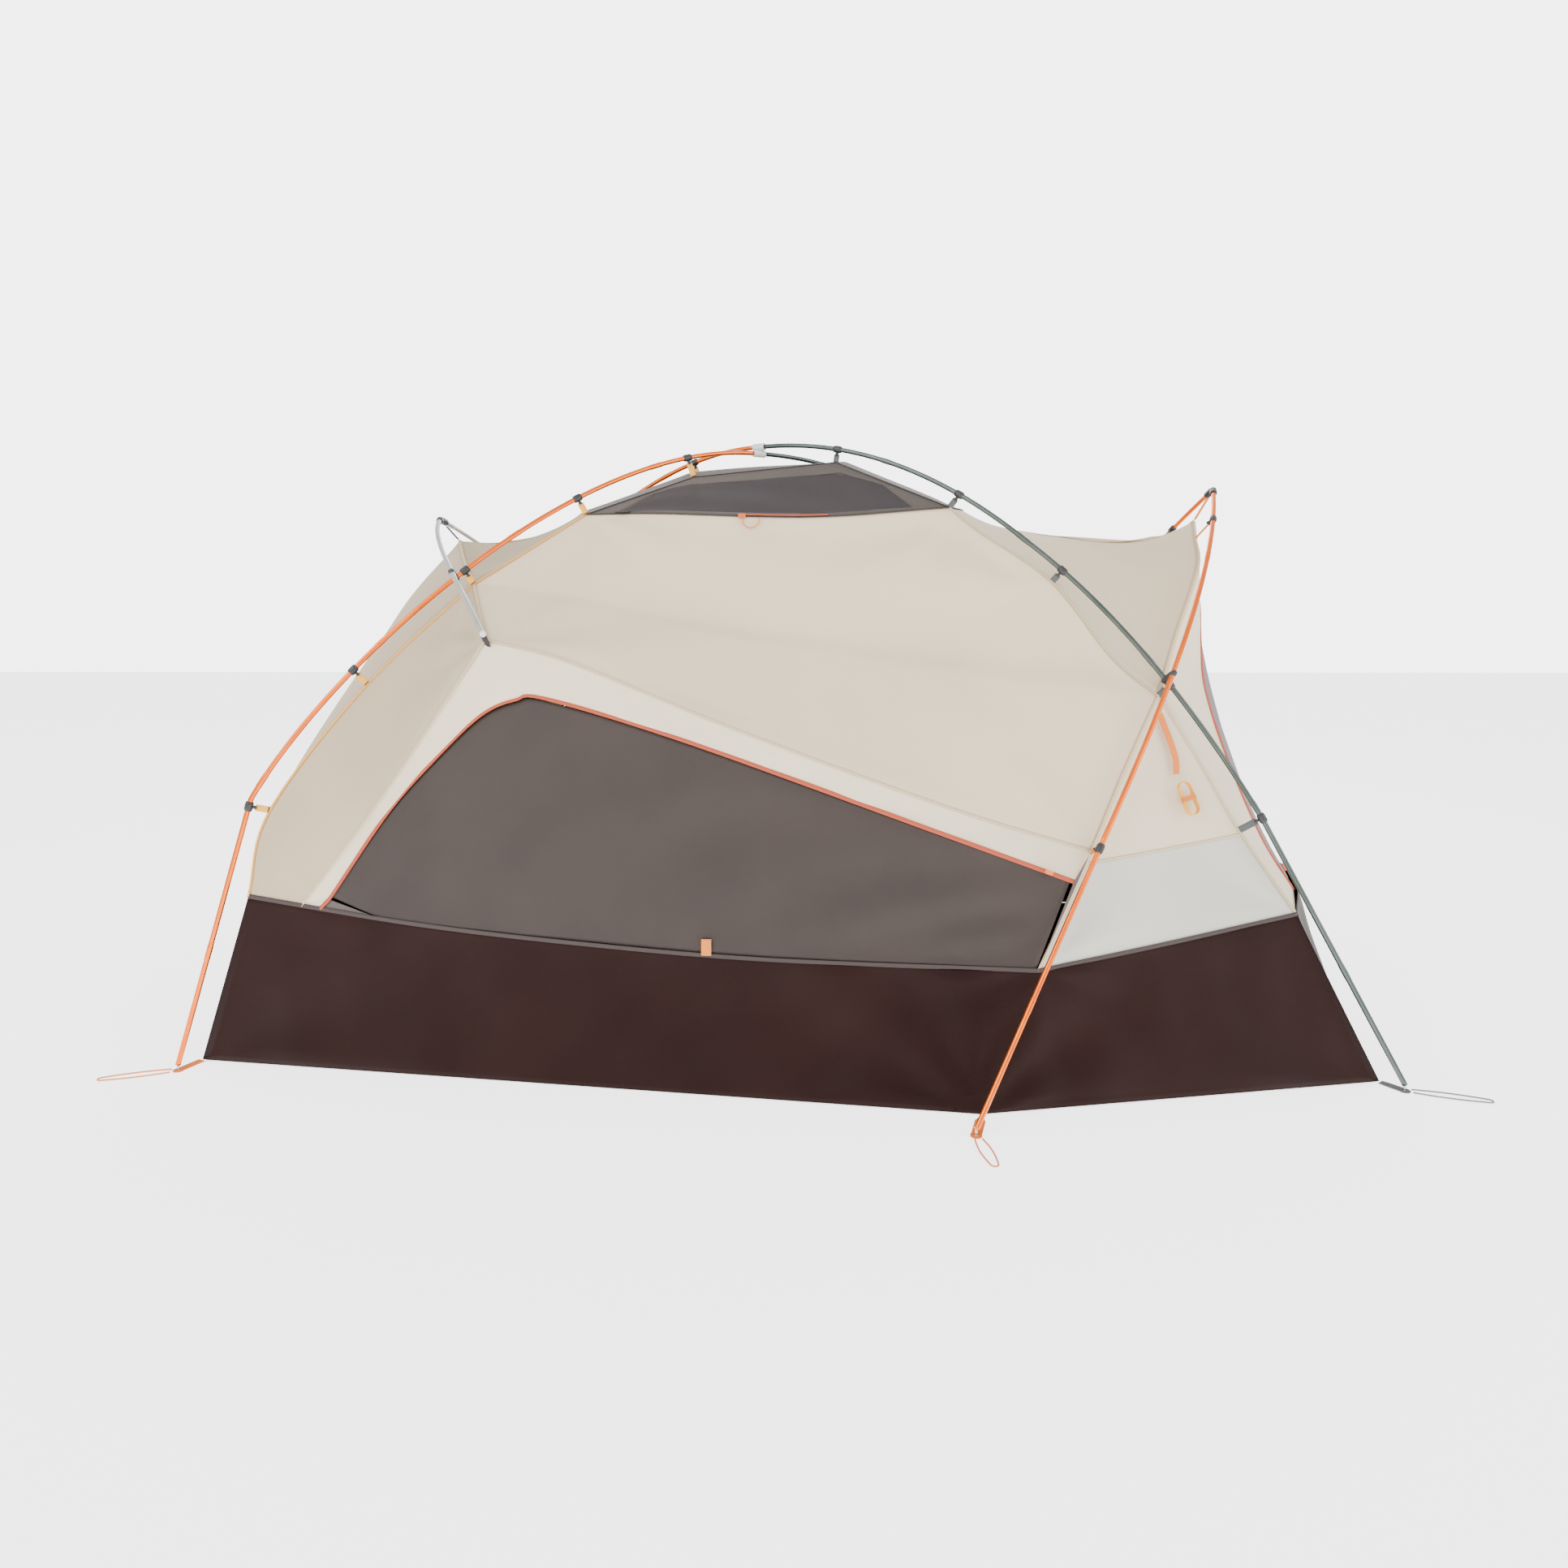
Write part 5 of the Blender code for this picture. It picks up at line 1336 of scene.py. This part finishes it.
print("tapes sewn")

# %% [markdown]
# ## Where the poles cross, and small trims
#
# Moulded blocks hold two tubes together. The eave pole ends in a pale ball, a red tab marks the
# window sill, and an orange strip and a loop mark the vent's zip.

# %% Where the poles cross, and small trims
def crossing(name, first, second):
    """A moulded block over the place where two tubes pass closest to each other."""
    gap = np.linalg.norm(first[:, None] - second[None], axis=2)
    i, j = np.unravel_index(np.argmin(gap), gap.shape)
    across = unit(second[j] - first[i])
    way = first[min(i + 1, len(first) - 1)] - first[max(i - 1, 0)]
    block = line(first[i] - 0.0065 * across, second[j] + 0.0065 * across, 9)
    radius = 0.0085 * np.sqrt(1 - 0.45 * np.linspace(-1, 1, 9)**6)
    for side, flip in SIDES:
        tube(name + side, block * flip, radius, BLACK_PLASTIC, sides=16, up=way * flip,
             squash=0.8)
    return float(gap[i, j])


def ball(name, centre, way, radius, material):
    """A ball on the end of a rod, as circles of radius sqrt(r^2 - t^2) along way."""
    t = np.linspace(-0.98, 0.98, 13)
    for side, flip in SIDES:
        tube(name + side, (centre + radius * t[:, None] * way) * flip,
             radius * np.sqrt(1 - t * t), material, sides=16, up=np.array([0.9, 0.1, 0.1]))


print("poles at the crossings are %.1f and %.1f mm apart" % (
    1000 * crossing("eave_crossing", FRONT_FOOT, EAVE),
    1000 * crossing("arch_crossing", FRONT_DOOR, ARCH)))
rod_end = EAVE[0]
ball("eave_tip", rod_end, unit(EAVE[0] - EAVE[3]), 0.0062, CLEAR_PLASTIC)
trim("eave_tab", line(rod_end + [0, 0.004, -0.003], EAVE_CORNER + [0.004, 0, -0.012], 8),
     0.016, 0.0024, BLACK_TAPE)
sill_spot = SILL[int(np.argmin(np.abs(SILL[:, 0] + 0.125)))]
zip_spot = WINDOW_ZIP[int(np.argmin(np.abs(WINDOW_ZIP[:, 0] + 0.125)))]
trim("window_tab", sill_spot + unit(zip_spot - sill_spot) * np.linspace(0, 0.030, 8)[:, None],
     0.019, 0.0020, ORANGE_TAPE, lift=0.004)
trim("vent_zip_strip", VENT_EDGE[(VENT_EDGE[:, 0] > -0.09) & (VENT_EDGE[:, 0] < 0.10)], 0.006,
     0.0032, RED_ZIP, lift=0.004, both=False)
trim("vent_label", VENT_EDGE[(VENT_EDGE[:, 0] > -0.345) & (VENT_EDGE[:, 0] < -0.313)], 0.016,
     0.0020, BLACK_TAPE, lift=0.004)
pull_loop = smooth([[-0.080, -0.213, 1.050], [-0.076, -0.221, 1.036], [-0.062, -0.223, 1.029],
                    [-0.047, -0.220, 1.036], [-0.044, -0.213, 1.050]])
tube("vent_pull_loop", pull_loop, 0.0012, ORANGE_TAPE, sides=8)

# %% [markdown]
# ## Small CAD pieces that stay as they are
#
# The hub, the elbows, the corner tabs, the pulls and the short straps already have their true
# shape. They only need their finishes, which take their grain from the object's own space.

# %% Finishes of the CAD pieces
ORANGE_FLAT = webbing_finish("orange_tab", (0.60, 0.13, 0.012), (0.85, 0.25, 0.03), 260.0, True)
GREY_FLAT = webbing_finish("grey_tab", (0.045, 0.052, 0.050), (0.11, 0.12, 0.115), 260.0, True)
BLACK_FLAT = webbing_finish("black_tab", (0.012, 0.012, 0.012), (0.035, 0.035, 0.035), 260.0, True)
FLOOR_COAT = grained_finish("floor_coat", (0.015, 0.0066, 0.0056), (0.019, 0.0088, 0.0074), 0.5)
CAD_FINISH = {"floor_sheet": FLOOR_COAT, "hub": CLEAR_PLASTIC, "arch_elbow": BLACK_PLASTIC,
              "eave_elbow": BLACK_PLASTIC, "peak_strap_foot": BLACK_FLAT,
              "peak_strap_door": ORANGE_FLAT, "door_zip_slider": PULL,
              "vent_zip_slider": PULL}
for side in ("_front", "_rear"):
    CAD_FINISH.update({"tab_foot_end" + side: ORANGE_FLAT, "tab_middle" + side: ORANGE_FLAT,
                       "tab_door_end" + side: GREY_FLAT, "guyline_strap" + side: ORANGE_FLAT,
                       "window_zip_slider" + side: PULL})
for name, finish_of in CAD_FINISH.items():
    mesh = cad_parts[name].data
    mesh.materials.clear()
    mesh.materials.append(finish_of)
shown = [n for n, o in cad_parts.items() if not o.hide_render and n not in CAD_FINISH]
print("CAD nodes shown without a finish:", shown or "none")
